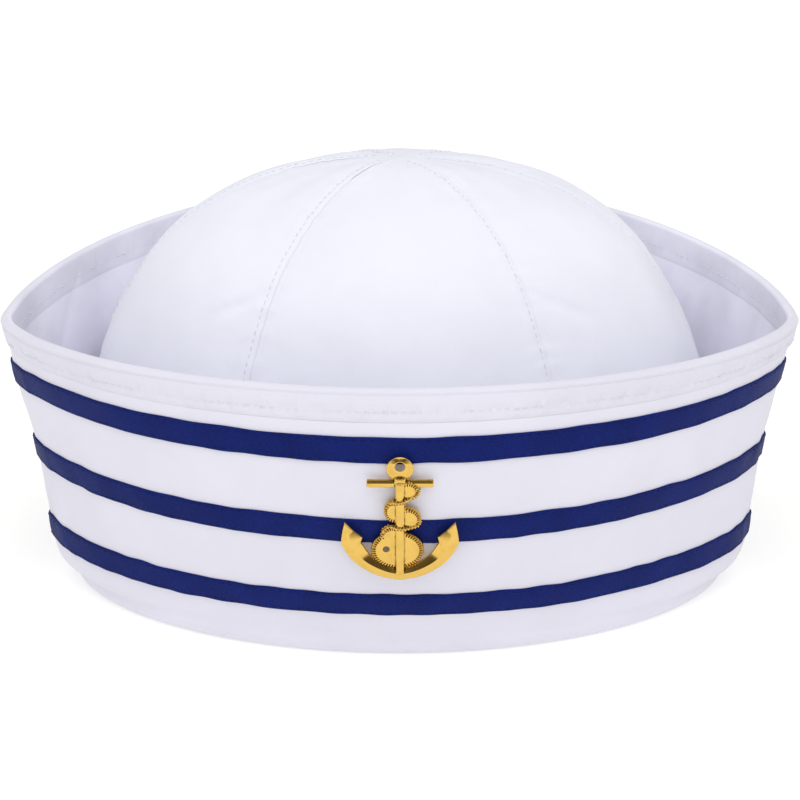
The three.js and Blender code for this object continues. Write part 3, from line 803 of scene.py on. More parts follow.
def weld_ends(obj, rings, sides, count):
    """Closes both ends of every stitch with a fan of two quads."""
    mesh = obj.data
    points = values_of(mesh.vertices, "co", 3)
    quads = values_of(mesh.polygons, "vertices", 4, np.int32)
    start = np.array([[3, 2, 1, 0], [5, 4, 3, 0]])
    end = (rings - 1) * sides + start[:, ::-1]
    shift = (np.arange(count) * rings * sides)[:, None, None]
    caps = (np.concatenate([start, end])[None] + shift).reshape(-1, 4)
    first, second, third = points[quads[0, :3]]
    middle = points[: rings * sides].mean(0)
    if np.dot(np.cross(second - first, third - first), first - middle) < 0:
        caps = caps[:, ::-1]
    mesh.clear_geometry()
    mesh.from_pydata(points.tolist(), [], np.concatenate([quads, caps]).tolist())
    shade_smooth(mesh)
    mesh.update()


def along_path(points, normals, pitch):
    """Places, directions and normals at even steps of pitch along a dense path."""
    lengths = lengths_along(points, 0)
    places = np.arange(pitch / 2, lengths[-1], pitch)

    def at(values, where):
        return np.stack([np.interp(where, lengths, values[:, k]) for k in range(3)], -1)

    centres = at(points, places)
    tangents = unit(at(points, places + pitch / 6) - at(points, places - pitch / 6))
    raw = at(normals, places)
    normals_there = unit(raw - tangents * np.einsum("ij,ij->i", raw, tangents)[:, None])
    return centres, tangents, normals_there


def seam_stitch_path(gore, side, offset):
    """The line of topstitching beside one seam of a gore: the place across the gore that lies offset
    from the seam, at every step of way."""
    way = np.linspace(0.035, 0.965, 500)
    spread = np.linspace(-1, 1, 41)[:, None]
    angle = gore_angle(gore, spread)
    half_width = lengths_along(crown_face(angle, way[None]), 0)[-1] / 2
    across = side * (1 - np.minimum(offset / half_width, 0.6))
    angle = gore_angle(gore, across)
    _, _, normal = directions(crown_face, angle, np.minimum(way, APEX_WAY))
    seam = gore if side < 0 else (gore + 1) % GORES
    detail = seam_cloth(offset, np.full_like(way, side), way, seam) * seam_fade(way)
    off = crown_wave(angle, way) - gore_dip(across, way) + detail
    return crown_face(angle, way) + normal * off[:, None], normal


def stitch_rows(name, paths, pitch, length, radius, lift):
    """Stitches of one length at even steps of pitch along several paths of points and normals."""
    found = [along_path(points, normals, pitch) for points, normals in paths]
    centres, tangents, normals = (np.concatenate([row[k] for row in found]) for k in range(3))
    return capsules(name, centres, tangents, normals, length, radius, lift)


def make_crown_stitches():
    """The crown's topstitching: one row beside every seam, on the side where the allowance lies."""
    cap = bpy.context.scene.sailor_cloth
    paths = [seam_stitch_path(gore, 1, cap.topstitch_offset) for gore in range(GORES)]
    pitch = cap.stitch_pitch
    return stitch_rows("crown_topstitching", paths, pitch * 0.9, pitch * 0.66, cap.thread_radius, 0.06 * MM)


def hem_height_at(above):
    """The hem's outer face at a height below the rim, by straight lines between its section's points."""
    return np.interp(above / MM, HEM_OUTER[:, 0], HEM_OUTER[:, 1]) * MM


def make_hem_stitches():
    """The hem's stitch row on the outside, and the same seam's other thread on the inside."""
    cap = bpy.context.scene.sailor_cloth
    angle = ONCE_ROUND
    share = np.full_like(angle, 1 - HEM_STITCH_DEPTH / (CUFF_WALL_HEIGHT + RIM_FRONT_LIFT))
    _, _, normal = directions(cuff_face, angle, share)
    above = np.full_like(angle, -HEM_STITCH_DEPTH)
    outer_off = hem_height_at(-HEM_STITCH_DEPTH) + hem_pucker(angle, above) + cuff_wave(angle, share)
    inner_off = np.interp(HEM_STITCH_DEPTH / MM, -HEM_INNER[:, 0], HEM_INNER[:, 1]) * MM
    inner_off = cuff_wave(angle, share) - CUFF_WALL - inner_off - 0.6 * hem_pucker(angle, above)
    rows = [(outer_off, normal), (inner_off, -normal)]
    paths = [(cuff_at(angle, share, off), n) for off, n in rows]
    pitch = cap.stitch_pitch
    return stitch_rows("hem_stitching", paths, pitch, pitch * 0.68, cap.thread_radius, 0.05 * MM)


def make_ribbon_stitches():
    """Navy machine stitches just inside both edges of every ribbon."""
    cap = bpy.context.scene.sailor_cloth
    ribbon = bpy.context.scene.sailor_ribbon
    angle = ONCE_ROUND
    paths = []
    for middle in RIBBONS.values():
        for side in (-1, 1):
            above = side * (RIBBON_WIDTH / 2 - ribbon.stitch_inset)
            share = np.full_like(angle, middle + above / CUFF_WALL_HEIGHT)
            _, _, normal = directions(cuff_face, angle, share)
            off = cuff_wave(angle, share) + RIBBON_LIFT + ribbon.thickness * 0.98
            paths.append((cuff_at(angle, share, off), normal))
    pitch, radius = cap.stitch_pitch, cap.thread_radius * 0.8
    return stitch_rows("ribbon_stitching", paths, pitch, pitch * 0.66, radius, 0.0)


# Badge, in millimetres in its own plane: X across, Y up the cuff, Z out of the cloth


def smooth_line(points, count):
    """A smooth curve through points: cubics with chord slopes, in even steps of point number."""
    number = np.arange(len(points))[:, None]
    table = np.concatenate([number, points], axis=1)
    return row_at(table, np.linspace(0, len(points) - 1, count))[1:].T


def arm_rows():
    """The arms' section lines: straight in the fluke, whose barb is sharp, and smooth curves from there
    to the crown. The outer line is smooth all the way."""
    fluke = np.linspace(0, FLUKE_ROWS - 1, 31)
    arm = np.linspace(FLUKE_ROWS - 1, len(ARM_SECTIONS) - 1, 70)[1:]
    places = np.concatenate([fluke, arm])
    number = np.arange(len(ARM_SECTIONS))
    outer = row_at(np.column_stack([number, ARM_SECTIONS[:, :2]]), places)[1:].T
    sharp = np.stack([np.interp(fluke, number, ARM_SECTIONS[:, k]) for k in range(2, 6)], -1)
    rest = ARM_SECTIONS[FLUKE_ROWS - 1:]
    soft_table = np.column_stack([number[FLUKE_ROWS - 1:], rest[:, 2:]])
    soft = row_at(soft_table, arm)[1:].T
    lines = np.concatenate([outer, np.concatenate([sharp, soft])], axis=1)
    lines[:, 1::2] -= ARM_LIFT
    left = lines * -np.tile(BADGE_SCALE, 3)
    right = left[-2::-1] * np.array([-1, 1] * 3)
    return np.concatenate([left, right])


def section_solid(rings):
    """Points and faces of a closed solid from a stack of closed rings, its ends fanned to their middles."""
    count, size = rings.shape[:2]
    ends = rings[[0, -1]].mean(axis=1)
    points = np.concatenate([rings.reshape(-1, 3), ends])
    faces = grid_faces(count, size, False, True)
    k = np.arange(size)
    k_next = (k + 1) % size
    first = np.stack([k_next, k, np.full(size, count * size), np.full(size, count * size)], -1)
    base = (count - 1) * size
    tip = np.full(size, count * size + 1)
    last = np.stack([base + k, base + k_next, tip, tip], -1)
    return points, np.concatenate([faces, first, last])


def arms_solid(metal):
    """The anchor's arms: sections with a steep upper face inside the ridge line and a shallow lower face
    outside it."""
    rows = arm_rows()
    outer, ridge, inner = rows[:, 0:2], rows[:, 2:4], rows[:, 4:6]
    tip = np.minimum(np.linspace(0, 8, len(rows)), np.linspace(8, 0, len(rows)))
    full = between(0, 1, tip)[:, None]
    edge = metal.edge / MM * (0.7 + 0.3 * full)
    top = metal.relief / MM * (0.45 + 0.55 * full)
    low = top - ARM_SLOPE * full * np.linalg.norm(outer - ridge, axis=1)[:, None]

    def at(line, height):
        return np.concatenate([line, height * np.ones((len(line), 1))], axis=1)

    rings = np.stack([
        at(outer, 0), at(outer, low), at(ridge, top), at(inner, edge), at(inner, 0),
    ], axis=1)
    return section_solid(rings)


def bar_solid(start, end, half_width, profile, steps, round_ends=0.35):
    """A straight bar whose section is a closed profile of offsets and heights, narrowed at its ends."""
    start, end = np.array(start, float), np.array(end, float)
    t = np.linspace(0, 1, steps)[:, None]
    line = start + (end - start) * t
    direction = (end - start) / np.linalg.norm(end - start)
    side = np.array([direction[1], -direction[0]])
    length = np.linalg.norm(end - start)
    near_end = np.minimum(t, 1 - t) * length
    full = np.sqrt(1 - np.clip(1 - near_end / round_ends, 0, 1) ** 2)
    girth = 0.72 + 0.28 * full
    offset = profile[:, 0] * half_width
    flat = line[:, None] + side * (offset * girth)[:, :, None]
    height = np.broadcast_to(profile[:, 1] * girth, flat.shape[:2])
    return section_solid(np.concatenate([flat, height[:, :, None]], axis=2))


def fan_solid(fan, metal, sides=360, rings=40):
    """A fan of the rope's turns: a flat oval with a small bevel, whose rim is cut by evenly spaced radial
    notches that end a little more than a millimetre inside it."""
    x, y, wide, tall = fan * np.tile(BADGE_SCALE, 2)
    turn = np.arange(sides) * FULL_TURN / sides
    step = np.hypot(wide * np.sin(turn), tall * np.cos(turn)) * FULL_TURN / sides
    travelled = np.cumsum(step)
    count = round(travelled[-1] / (metal.rope_pitch / MM))
    groove = (0.5 + 0.5 * np.cos(FULL_TURN * count * travelled / travelled[-1])) ** 2.2
    girth = np.concatenate([[1], np.linspace(1, 0.02, rings)])[:, None]
    base, top = metal.fan_edge / MM, metal.fan_top / MM
    inward = (1 - girth) * min(wide, tall)
    height = base + (top - base) * (0.7 * between(0, 0.25, inward) + 0.3 * (1 - girth**2))
    height[0] = 0
    depth = metal.notch_depth / MM * groove * (1 - between(*NOTCH_END, inward))
    return section_solid(np.stack([
        x + wide * girth * np.cos(turn),
        y + tall * girth * np.sin(turn),
        np.where(height > 0, height - depth, height),
    ], axis=2))


def rope_solid(metal, crossing):
    """A turn of rope over the shank: a tube along its route whose radius swells and sinks along a twist,
    which gives the strands' notches. Its ends dip into the fans."""
    route = smooth_line(crossing * BADGE_SCALE, 400)
    lengths = lengths_along(route, 0)
    even = np.linspace(0, lengths[-1], 320)
    route = np.stack([np.interp(even, lengths, route[:, k]) for k in range(2)], -1)
    direction = unit(np.gradient(route, axis=0))
    side = np.stack([direction[:, 1], -direction[:, 0]], -1)
    around = np.arange(28) * FULL_TURN / 28
    phase = around[None] - FULL_TURN * even[:, None] / (metal.rope_pitch / MM)
    radius = metal.rope_radius / MM * (1.0 - 0.5 * (0.5 + 0.5 * np.cos(phase)))
    over = 1 - between(*ROPE_RISE, np.abs(route[:, 0]))[:, None]
    level = metal.rope_low / MM + (metal.rope_level - metal.rope_low) / MM * over
    flat = route[:, None] + side[:, None] * (np.cos(around) * radius)[:, :, None]
    rise = level + np.sin(around) * radius
    return section_solid(np.concatenate([flat, rise[:, :, None]], axis=2))


def eye_solid(metal):
    """The eye: a round disc that rises like a cone from its edge to the hole's lip, swept round the
    hole, which sits above the disc's middle."""
    turn = np.arange(96) * FULL_TURN / 96
    outer, hole = metal.eye_radius / MM, metal.eye_hole / MM * 0.9
    across = np.linspace(1, 0, 24)
    radius = np.concatenate([[outer], hole + (outer - hole) * across, [hole]])
    edge = metal.edge / MM
    swell = edge + (metal.eye_relief / MM - edge) * (1 - across**1.3)
    swell = swell - 0.25 * bump(across, 0.12)
    height = np.concatenate([[0], swell, [0]])
    x = radius * np.cos(turn)[:, None]
    lean = EYE_SHIFT * (1 - np.concatenate([[1], across, [0]]))
    y = radius * np.sin(turn)[:, None] + EYE_PLACE * BADGE_HEIGHT + lean
    points = np.stack([x, y, np.broadcast_to(height, x.shape)], -1)
    return points.reshape(-1, 3), grid_faces(96, len(radius), True, True)


def anchor_solids(metal):
    """Every solid of the badge before it is fused."""
    height, edge = BADGE_HEIGHT, metal.edge / MM
    arc = np.linspace(0, math.pi, 13)
    rounded = np.column_stack([np.cos(arc), 1.3 + 1.3 * np.sin(arc)])
    shank_profile = np.concatenate([[[1, 0]], rounded, [[-1, 0]]])
    stock_profile = np.array([
        [1, 0], [1, edge + 0.55], [-0.16, edge + 0.8], [-0.24, edge + 0.8], [-1, edge], [-1, 0],
    ])
    neck_profile = np.column_stack([rounded[:, 0], 1.0 + 1.1 * np.sin(arc)])
    neck_profile = np.concatenate([[[1, 0]], neck_profile, [[-1, 0]]])
    stock_y = STOCK_PLACE * height
    solids = [
        arms_solid(metal),
        bar_solid((0, SHANK_TOP * height), (0, -SHANK_FOOT * height), SHANK_HALF, shank_profile, 90),
        bar_solid((0, NECK_TOP * height), (0, stock_y), NECK_HALF, neck_profile, 60),
        bar_solid(
            (-STOCK_HALF, stock_y), (STOCK_HALF, stock_y), STOCK_HALF_HEIGHT, stock_profile, 90, 0.2
        ),
        eye_solid(metal),
    ]
    solids += [rope_solid(metal, crossing) for crossing in ROPE_CROSSINGS]
    solids += [fan_solid(fan, metal) for fan in ROPE_FANS]
    return solids


def flat_mesh(name, solids):
    """One mesh from several closed solids, each with its faces pointing out. A quad with two corners in
    one point becomes a triangle."""
    points, faces, start = [], [], 0
    for solid_points, solid_faces in solids:
        if signed_volume(solid_points, solid_faces) < 0:
            solid_faces = solid_faces[:, ::-1]
        points.append(solid_points)
        faces.append(solid_faces + start)
        start += len(solid_points)
    mesh = bpy.data.meshes.new(name)
    rows = np.concatenate(faces).tolist()
    mesh.from_pydata(np.concatenate(points).tolist(), [], [list(dict.fromkeys(row)) for row in rows])
    mesh.update()
    return linked_object(name, mesh)


def applied(obj):
    """Replaces an object's mesh by the one that its modifiers make."""
    depsgraph = bpy.context.evaluated_depsgraph_get()
    made = bpy.data.meshes.new_from_object(obj.evaluated_get(depsgraph))
    old = obj.data
    obj.modifiers.clear()
    obj.data = made
    bpy.data.meshes.remove(old)


def hole_cutter(x, y, radius):
    """A round cutter that goes right through the badge and leans up the cuff towards its front, so that
    the cloth behind shows from above. It meets the badge's face at the given place."""
    turn = np.arange(40) * FULL_TURN / 40
    height = np.array([-2.0, 6.0])[:, None]
    return section_solid(np.stack([
        x + radius * np.cos(turn) * np.ones((2, 1)),
        y + radius * np.sin(turn) + HOLE_LEAN * (height - HOLE_FACE),
        height * np.ones(40),
    ], axis=2))


def badge_frame():
    """The badge's place: its across, up and out directions and its origin. It leans with the cuff's
    front and touches the ribbons' bulge at one line, as its solid does."""
    reach = BADGE_HEIGHT * MM / 2 / CUFF_WALL_HEIGHT
    standoff = 2 * GAP + RIBBON_WALL
    half = RIBBON_WIDTH / 2 / CUFF_WALL_HEIGHT
    edges = [middle + side * half for middle in RIBBONS.values() for side in (-1, 1)]
    shares = edges[:2]
    for low, high in ((1, 2), (3, 4)):
        shares += [(edges[low] + edges[high]) / 2, edges[high], edges[high + 1]]
    near = np.array([s for s in shares if abs(s - BADGE_MIDDLE) < reach])
    low = cuff_at(FRONT_ANGLE, BADGE_MIDDLE - reach, standoff)
    up = unit(cuff_at(FRONT_ANGLE, BADGE_MIDDLE + reach, standoff) - low)
    across = np.array([1.0, 0.0, 0.0])
    out = np.cross(across, up)
    bulge = max(0.0, ((cuff_at(FRONT_ANGLE, near, standoff) - low) @ out).max())
    origin = low + up * BADGE_HEIGHT * MM / 2 + out * bulge
    return across, up, out, origin


def place_in_badge_frame(obj):
    """Turns a mesh in badge millimetres into its place on the cap, in metres."""
    across, up, out, origin = badge_frame()
    points = values_of(obj.data.vertices, "co", 3) * MM
    placed = origin + points @ np.stack([across, up, out])
    obj.data.vertices.foreach_set("co", placed.ravel())
    obj.data.update()


def mark_recesses(obj, reach):
    """Stores a mask of hollows on a mesh: how far each point lies below the mean of its neighbours,
    taken many times over, along its normal, as a share of reach."""
    mesh = obj.data
    points = values_of(mesh.vertices, "co", 3)
    normals = values_of(mesh.vertex_normals, "vector", 3, np.float32)
    edges = values_of(mesh.edges, "vertices", 2, np.int32)
    count = len(points)
    near = np.concatenate([edges, edges[:, ::-1]])
    links = np.bincount(near[:, 0], minlength=count)[:, None]
    mean = points
    for _ in range(RECESS_ROUNDS):
        sums = [np.bincount(near[:, 0], mean[near[:, 1], k], count) for k in range(3)]
        mean = np.stack(sums, -1) / np.maximum(links, 1)
    depth = np.einsum("ij,ij->i", mean - points, normals) / reach
    store_mask(mesh, "recess", np.clip(depth, 0, 1))


def shade_metal(mesh):
    """Smooth shading with the metal's sharp edges kept."""
    shade_smooth(mesh)
    mesh.set_sharp_from_angle(angle=SHARP_EDGE)


def make_anchor():
    """The badge: its solids fused by a voxel remesh, softened a little as polished casting is, and its
    eye and rope hole cut through."""
    metal = bpy.context.scene.sailor_badge
    obj = flat_mesh("fouled_anchor", anchor_solids(metal))
    remesh = obj.modifiers.new("fuse", "REMESH")
    remesh.mode = "VOXEL"
    remesh.voxel_size = metal.fuse_size / MM
    smooth = obj.modifiers.new("polish", "SMOOTH")
    smooth.factor = POLISH
    smooth.iterations = 1
    applied(obj)
    cutters = flat_mesh("anchor_cutters", [
        hole_cutter(0, EYE_PLACE * BADGE_HEIGHT + EYE_SHIFT, metal.eye_hole / MM),
        hole_cutter(*(ROPE_HOLE * BADGE_SCALE), ROPE_HOLE_RADIUS),
    ])
    cut = obj.modifiers.new("holes", "BOOLEAN")
    cut.operation = "DIFFERENCE"
    cut.solver = "FAST"
    cut.object = cutters
    applied(obj)
    bpy.data.objects.remove(cutters)
    mark_recesses(obj, RECESS_REACH)
    place_in_badge_frame(obj)
    shade_metal(obj.data)
    return obj


def make_pin():
    """The hidden pin: a post and a clutch disc turned in one piece, with rounded edges."""
    _, up, out, origin = badge_frame()
    wall = cuff_face(FRONT_ANGLE, PIN_PLACE)
    depth = float((origin - wall) @ out) / MM
    height = float((wall - origin) @ up) / MM
    front = -depth - CUFF_WALL / MM - 2 * GAP / MM
    # Radius and height of each turn of the profile, from the disc's back to the post's front
    profile = np.array([
        [0.0, front - CLUTCH_WALL], [4.0, front - CLUTCH_WALL], [4.4, front - 2.05],
        [CLUTCH_RADIUS, front - 1.8], [CLUTCH_RADIUS, front - 0.4], [4.4, front - 0.12], [4.1, front],
        [1.3, front], [0.95, front + 0.15], [POST_RADIUS, front + 0.4], [POST_RADIUS, -0.3], [0.0, -0.3],
    ])
    turn = np.arange(48) * FULL_TURN / 48
    rings = np.stack([
        profile[:, :1] * np.cos(turn),
        height + profile[:, :1] * np.sin(turn),
        profile[:, 1:] * np.ones(48),
    ], axis=2)
    obj = flat_mesh("pin_and_clutch", [section_solid(rings[1:-1])])
    place_in_badge_frame(obj)
    shade_metal(obj.data)
    return obj


# Shader node groups


class Nodes:
    """Short calls for building a node tree."""

    def __init__(self, tree):
        self.tree = tree

    def put(self, socket, value):
        """Links a socket to another one, or gives it a value."""
        if isinstance(value, bpy.types.NodeSocket):
            self.tree.links.new(value, socket)
        else:
            socket.default_value = value

    def fill(self, node, values):
        """Puts values or links on a node's named sockets."""
        for name, value in values.items():
            self.put(node.inputs[name], value)
        return node

    def add(self, kind, values=None, **settings):
        """A node with settings on itself and values or links on its sockets."""
        node = self.tree.nodes.new(kind)
        for name, value in settings.items():
            setattr(node, name, value)
        return self.fill(node, values or {})

    def math(self, operation, first, second=0.0):
        """The result of one arithmetic step."""
        return self.add("ShaderNodeMath", {0: first, 1: second}, operation=operation).outputs[0]

    def linear(self, value, factor, shift):
        """A value times a factor, plus a shift."""
        return self.math("ADD", self.math("MULTIPLY", value, factor), shift)

    def ramp(self, value, low, high):
        """A value mapped smoothly from between low and high to between 0 and 1."""
        values = {"Value": value, "From Min": low, "From Max": high}
        return self.add("ShaderNodeMapRange", values, interpolation_type="SMOOTHSTEP").outputs["Result"]

    def mix(self, factor, first, second):
        """A colour between two others."""
        node = self.add("ShaderNodeMix", data_type="RGBA")
        values = {"Factor_Float": factor, "A_Color": first, "B_Color": second}
        for socket in node.inputs:
            if socket.identifier in values:
                self.put(socket, values[socket.identifier])
        return next(s for s in node.outputs if s.identifier == "Result_Color")

    def place(self):
        """A point's place on its own object."""
        return self.add("ShaderNodeTexCoord").outputs["Object"]

    def cloth_map(self):
        """A point's place on its cloth, in metres."""
        return self.add("ShaderNodeUVMap", uv_map="cloth").outputs["UV"]

    def mask(self, name):
        """A number stored on the mesh's points."""
        return self.add("ShaderNodeAttribute", attribute_name=name).outputs["Fac"]

    def stretched(self, place, scale):
        """A place scaled by its own factor along each axis."""
        return self.add("ShaderNodeMapping", {"Vector": place, "Scale": scale}).outputs[0]

    def noise(self, place, scale, detail, **more):
        """The strength of a noise texture."""
        values = {"Vector": place, "Scale": scale, "Detail": detail, **more}
        return self.add("ShaderNodeTexNoise", values).outputs["Fac"]

    def relief(self, height, strength, distance, **more):
        """Normals bent by a height."""
        values = {"Height": height, "Strength": strength, "Distance": distance, **more}
        return self.add("ShaderNodeBump", values).outputs["Normal"]

    def group(self, name, values):
        """The outputs of a shared node group, made the first time that it is asked for."""
        tree = bpy.data.node_groups.get(name) or GROUPS[name](name)
        return self.add("ShaderNodeGroup", values, node_tree=tree).outputs


def new_group(name, vector, numbers, outputs):
    """An empty shader node group with a vector input, number inputs with their values and number
    outputs: its short calls, its input sockets and its output node."""
    tree = bpy.data.node_groups.new(name, "ShaderNodeTree")
    tree.interface.new_socket(vector, in_out="INPUT", socket_type="NodeSocketVector")
    for label, value in numbers.items():
        socket = tree.interface.new_socket(label, in_out="INPUT", socket_type="NodeSocketFloat")
        socket.default_value = value
    for label in outputs:
        tree.interface.new_socket(label, in_out="OUTPUT", socket_type="NodeSocketFloat")
    nodes = Nodes(tree)
    return nodes, nodes.add("NodeGroupInput").outputs, nodes.add("NodeGroupOutput")


def plain_weave_group(name):
    """Plain weave on a map in metres: two sets of rounded threads that pass over and under each other.
    Gives the cloth's height, and a mask of the gaps between threads."""
    numbers = {"Pitch": 0.0005, "Unevenness": 0.25}
    nodes, given, result = new_group(name, "Map", numbers, ("Height", "Gaps"))
    scale = nodes.math("DIVIDE", math.pi, given["Pitch"])
    shift = nodes.math("MULTIPLY", nodes.noise(given["Map"], 700.0, 2.0), given["Unevenness"])
    parts = nodes.add("ShaderNodeSeparateXYZ", {"Vector": given["Map"]}).outputs
    x, y = (nodes.linear(parts[axis], scale, shift) for axis in ("X", "Y"))
    warp, weft = (nodes.math("ABSOLUTE", nodes.math("SINE", value)) for value in (x, y))
    over = nodes.math("MULTIPLY", nodes.math("COSINE", x), nodes.math("COSINE", y))
    side = nodes.linear(over, 0.5, 0.5)
    first = nodes.math("MULTIPLY", warp, side)
    second = nodes.math("MULTIPLY", weft, nodes.math("SUBTRACT", 1.0, side))
    nodes.fill(result, {
        "Height": nodes.math("ADD", first, second),
        "Gaps": nodes.math("SUBTRACT", 1.0, nodes.math("MAXIMUM", warp, weft)),
    })
    return nodes.tree


def cloth_mottle_group(name):
    """Slow changes of tone over cloth, on object coordinates: soft patches and soft folds."""
    nodes, given, result = new_group(name, "Place", {"Size": 0.03}, ("Tone", "Creases"))
    scale = nodes.math("DIVIDE", 1.0, given["Size"])
    patches = nodes.noise(given["Place"], scale, 3.0, Roughness=0.5)
    folds = nodes.noise(given["Place"], nodes.math("MULTIPLY", scale, 1.6), 2.0, Distortion=0.4)
    nodes.fill(result, {"Tone": nodes.ramp(patches, 0.3, 0.7), "Creases": nodes.ramp(folds, 0.3, 0.7)})
    return nodes.tree


def fine_wear_group(name):
    """Polish marks and dulled patches on metal, on object coordinates."""
    nodes, given, result = new_group(name, "Place", {"Amount": 0.5}, ("Dulling", "Height"))
    marks = nodes.noise(nodes.stretched(given["Place"], (9000, 2500, 2500)), 1.0, 4.0)
    patches = nodes.ramp(nodes.noise(given["Place"], 260.0, 4.0), 0.42, 0.72)
    nodes.fill(result, {"Dulling": nodes.math("MULTIPLY", patches, given["Amount"]), "Height": marks})
    return nodes.tree


GROUPS = {
    "plain_weave": plain_weave_group,
    "cloth_mottle": cloth_mottle_group,
    "fine_wear": fine_wear_group,
}


# Materials


def new_material(name):
    """A material with an empty tree, its Principled shader and its short calls."""
    material = bpy.data.materials.new(name)
    material.use_nodes = True
    material.node_tree.nodes.clear()
    nodes = Nodes(material.node_tree)
    shader = nodes.add("ShaderNodeBsdfPrincipled")
    nodes.add("ShaderNodeOutputMaterial", {"Surface": shader.outputs["BSDF"]})
    return material, nodes, shader


def shade(colour, factor):
    """A colour made lighter or darker, with full alpha."""
    return tuple(min(c * factor, 1.0) for c in colour[:3]) + (1.0,)


def cotton_material(name, colour, pitch, depth):
    """Cotton cloth: plain weave on its own map with painted shade in its gaps, tone that drifts over it,
    painted light on its inner side, and a soft sheen.
    """
    material, nodes, shader = new_material(name)
    weave = nodes.group("plain_weave", {"Map": nodes.cloth_map(), "Pitch": pitch})
    mottle = nodes.group("cloth_mottle", {"Place": nodes.place(), "Size": 0.028})
    # The inner side is painted lighter: painted light, not a different cloth.
    painted_inner_light = nodes.mix(nodes.mask("inner_side"), shade(colour, 1.0), shade(colour, INNER_PAINTED_LIGHT))
    tone_and_inner_light = nodes.mix(mottle["Tone"], shade(colour, 0.965), painted_inner_light)
    # The gaps between the weave's threads are painted darker: painted shade.
    gap = nodes.math("MULTIPLY", weave["Gaps"], 0.30)
    soft = nodes.relief(mottle["Creases"], 0.1, 0.0015)
    nodes.fill(shader, {
        "Base Color": nodes.mix(gap, tone_and_inner_light, shade(colour, 0.80)),
        "Roughness": nodes.linear(mottle["Tone"], 0.1, 0.82),
        "Sheen Weight": 0.15,
        "Sheen Roughness": 0.5,
        "Specular IOR Level": 0.25,
        "Normal": nodes.relief(weave["Height"], 0.45, depth, Normal=soft),
    })
    return material


def ribbon_material(ribbon):
    """Navy satin ribbon: fine cross ribs, a speckle of floats painted lighter as painted sheen, and a soft
    gloss.
    """
    material, nodes, shader = new_material("navy_ribbon")
    mapped = nodes.cloth_map()
    parts = nodes.add("ShaderNodeSeparateXYZ", {"Vector": mapped}).outputs
    wander = nodes.math("MULTIPLY", nodes.noise(mapped, 2600.0, 2.0), 1.6)
    ribs = nodes.linear(parts["X"], FULL_TURN / ribbon.rib_pitch, wander)
    rib = nodes.linear(nodes.math("SINE", ribs), 0.5, 0.5)
    threads = nodes.math("MULTIPLY", parts["Y"], FULL_TURN / (ribbon.rib_pitch * 0.8))
    floats = nodes.math("MULTIPLY", nodes.math("SINE", threads), 0.25)
    float_spots_and_sheen = nodes.ramp(nodes.noise(nodes.stretched(mapped, (1100, 2400, 1)), 1.0, 3.0), 0.50, 0.72)
    mottle = nodes.group("cloth_mottle", {"Place": nodes.place(), "Size": 0.012})
    base = nodes.mix(mottle["Tone"], shade(ribbon.colour, 0.86), shade(ribbon.colour, 1.12))
    nodes.fill(shader, {
        # The floats are painted lighter in colour as painted sheen; their lower roughness is real.
        "Base Color": nodes.mix(nodes.math("MULTIPLY", float_spots_and_sheen, 0.45), base, shade(ribbon.colour, 2.2)),
        "Roughness": nodes.linear(float_spots_and_sheen, -0.12, 0.56),
        "Specular IOR Level": 0.08,
        "Normal": nodes.relief(nodes.math("ADD", rib, floats), 0.5, 0.00005),
    })
    return material


def thread_material(name, colour):
    """Sewing thread: fine spun unevenness and a dull surface."""
    material, nodes, shader = new_material(name)
    spun = nodes.ramp(nodes.noise(nodes.place(), 2200.0, 2.0), 0.35, 0.65)
    nodes.fill(shader, {
        "Base Color": nodes.mix(spun, shade(colour, 0.9), shade(colour, 1.0)),
        "Roughness": nodes.linear(spun, 0.1, 0.62),
        "Specular IOR Level": 0.08,
        "Normal": nodes.relief(spun, 0.4, 0.00006),
    })
    return material


def gilt_material(metal):
    """Polished gilt: a bright warm metal, a little duller and deeper in patches."""
    material, nodes, shader = new_material("gilt_metal")
    wear = nodes.group("fine_wear", {"Place": nodes.place(), "Amount": metal.wear})
    colour = nodes.mix(wear["Dulling"], shade(metal.colour, 1.0), shade(metal.colour, 0.82))
    hollow = nodes.ramp(nodes.mask("recess"), 0.1, 0.7)
    dull = nodes.linear(wear["Dulling"], 0.1, metal.roughness)
    nodes.fill(shader, {
        "Base Color": nodes.mix(hollow, colour, metal.recess_colour),
        "Roughness": nodes.linear(hollow, 0.3, dull),
        "Metallic": 1.0,
        "Normal": nodes.relief(wear["Height"], 0.12, 0.00004),
    })
    return material


def cotton(name):
    """The crown's, the cuff's or the hem's cotton, made the first time that it is asked for."""
    cap = bpy.context.scene.sailor_cloth
    colour = {
        "crown_cotton": cap.crown_colour,
        # The cuff is painted darker than the crown: painted shade.
        "cuff_cotton": cap.cuff_shaded_colour,
        # The hem is painted darker than the cuff: painted shade of its puckers.
        "hem_cotton": shade(cap.cuff_shaded_colour, HEM_PAINTED_SHADE),
    }[name]
    return bpy.data.materials.get(name) or cotton_material(name, colour, cap.weave_pitch, 0.00006)


# Settings


def length_setting(name, description, default, least=0.0):
    """A setting for a length in metres."""
    return bpy.props.FloatProperty(
        name=name, description=description, default=default, unit="LENGTH", min=least, precision=5,
    )


def colour_setting(name, description, default):
    """A setting for an opaque colour."""
    return bpy.props.FloatVectorProperty(
        name=name, description=description, default=(*default, 1.0), subtype="COLOR", size=4, min=0, max=1,
    )


def amount_setting(name, description, default, least=0.0, most=1e6):
    """A setting for a plain number."""
    return bpy.props.FloatProperty(
        name=name, description=description, default=default, min=least, max=most,
    )


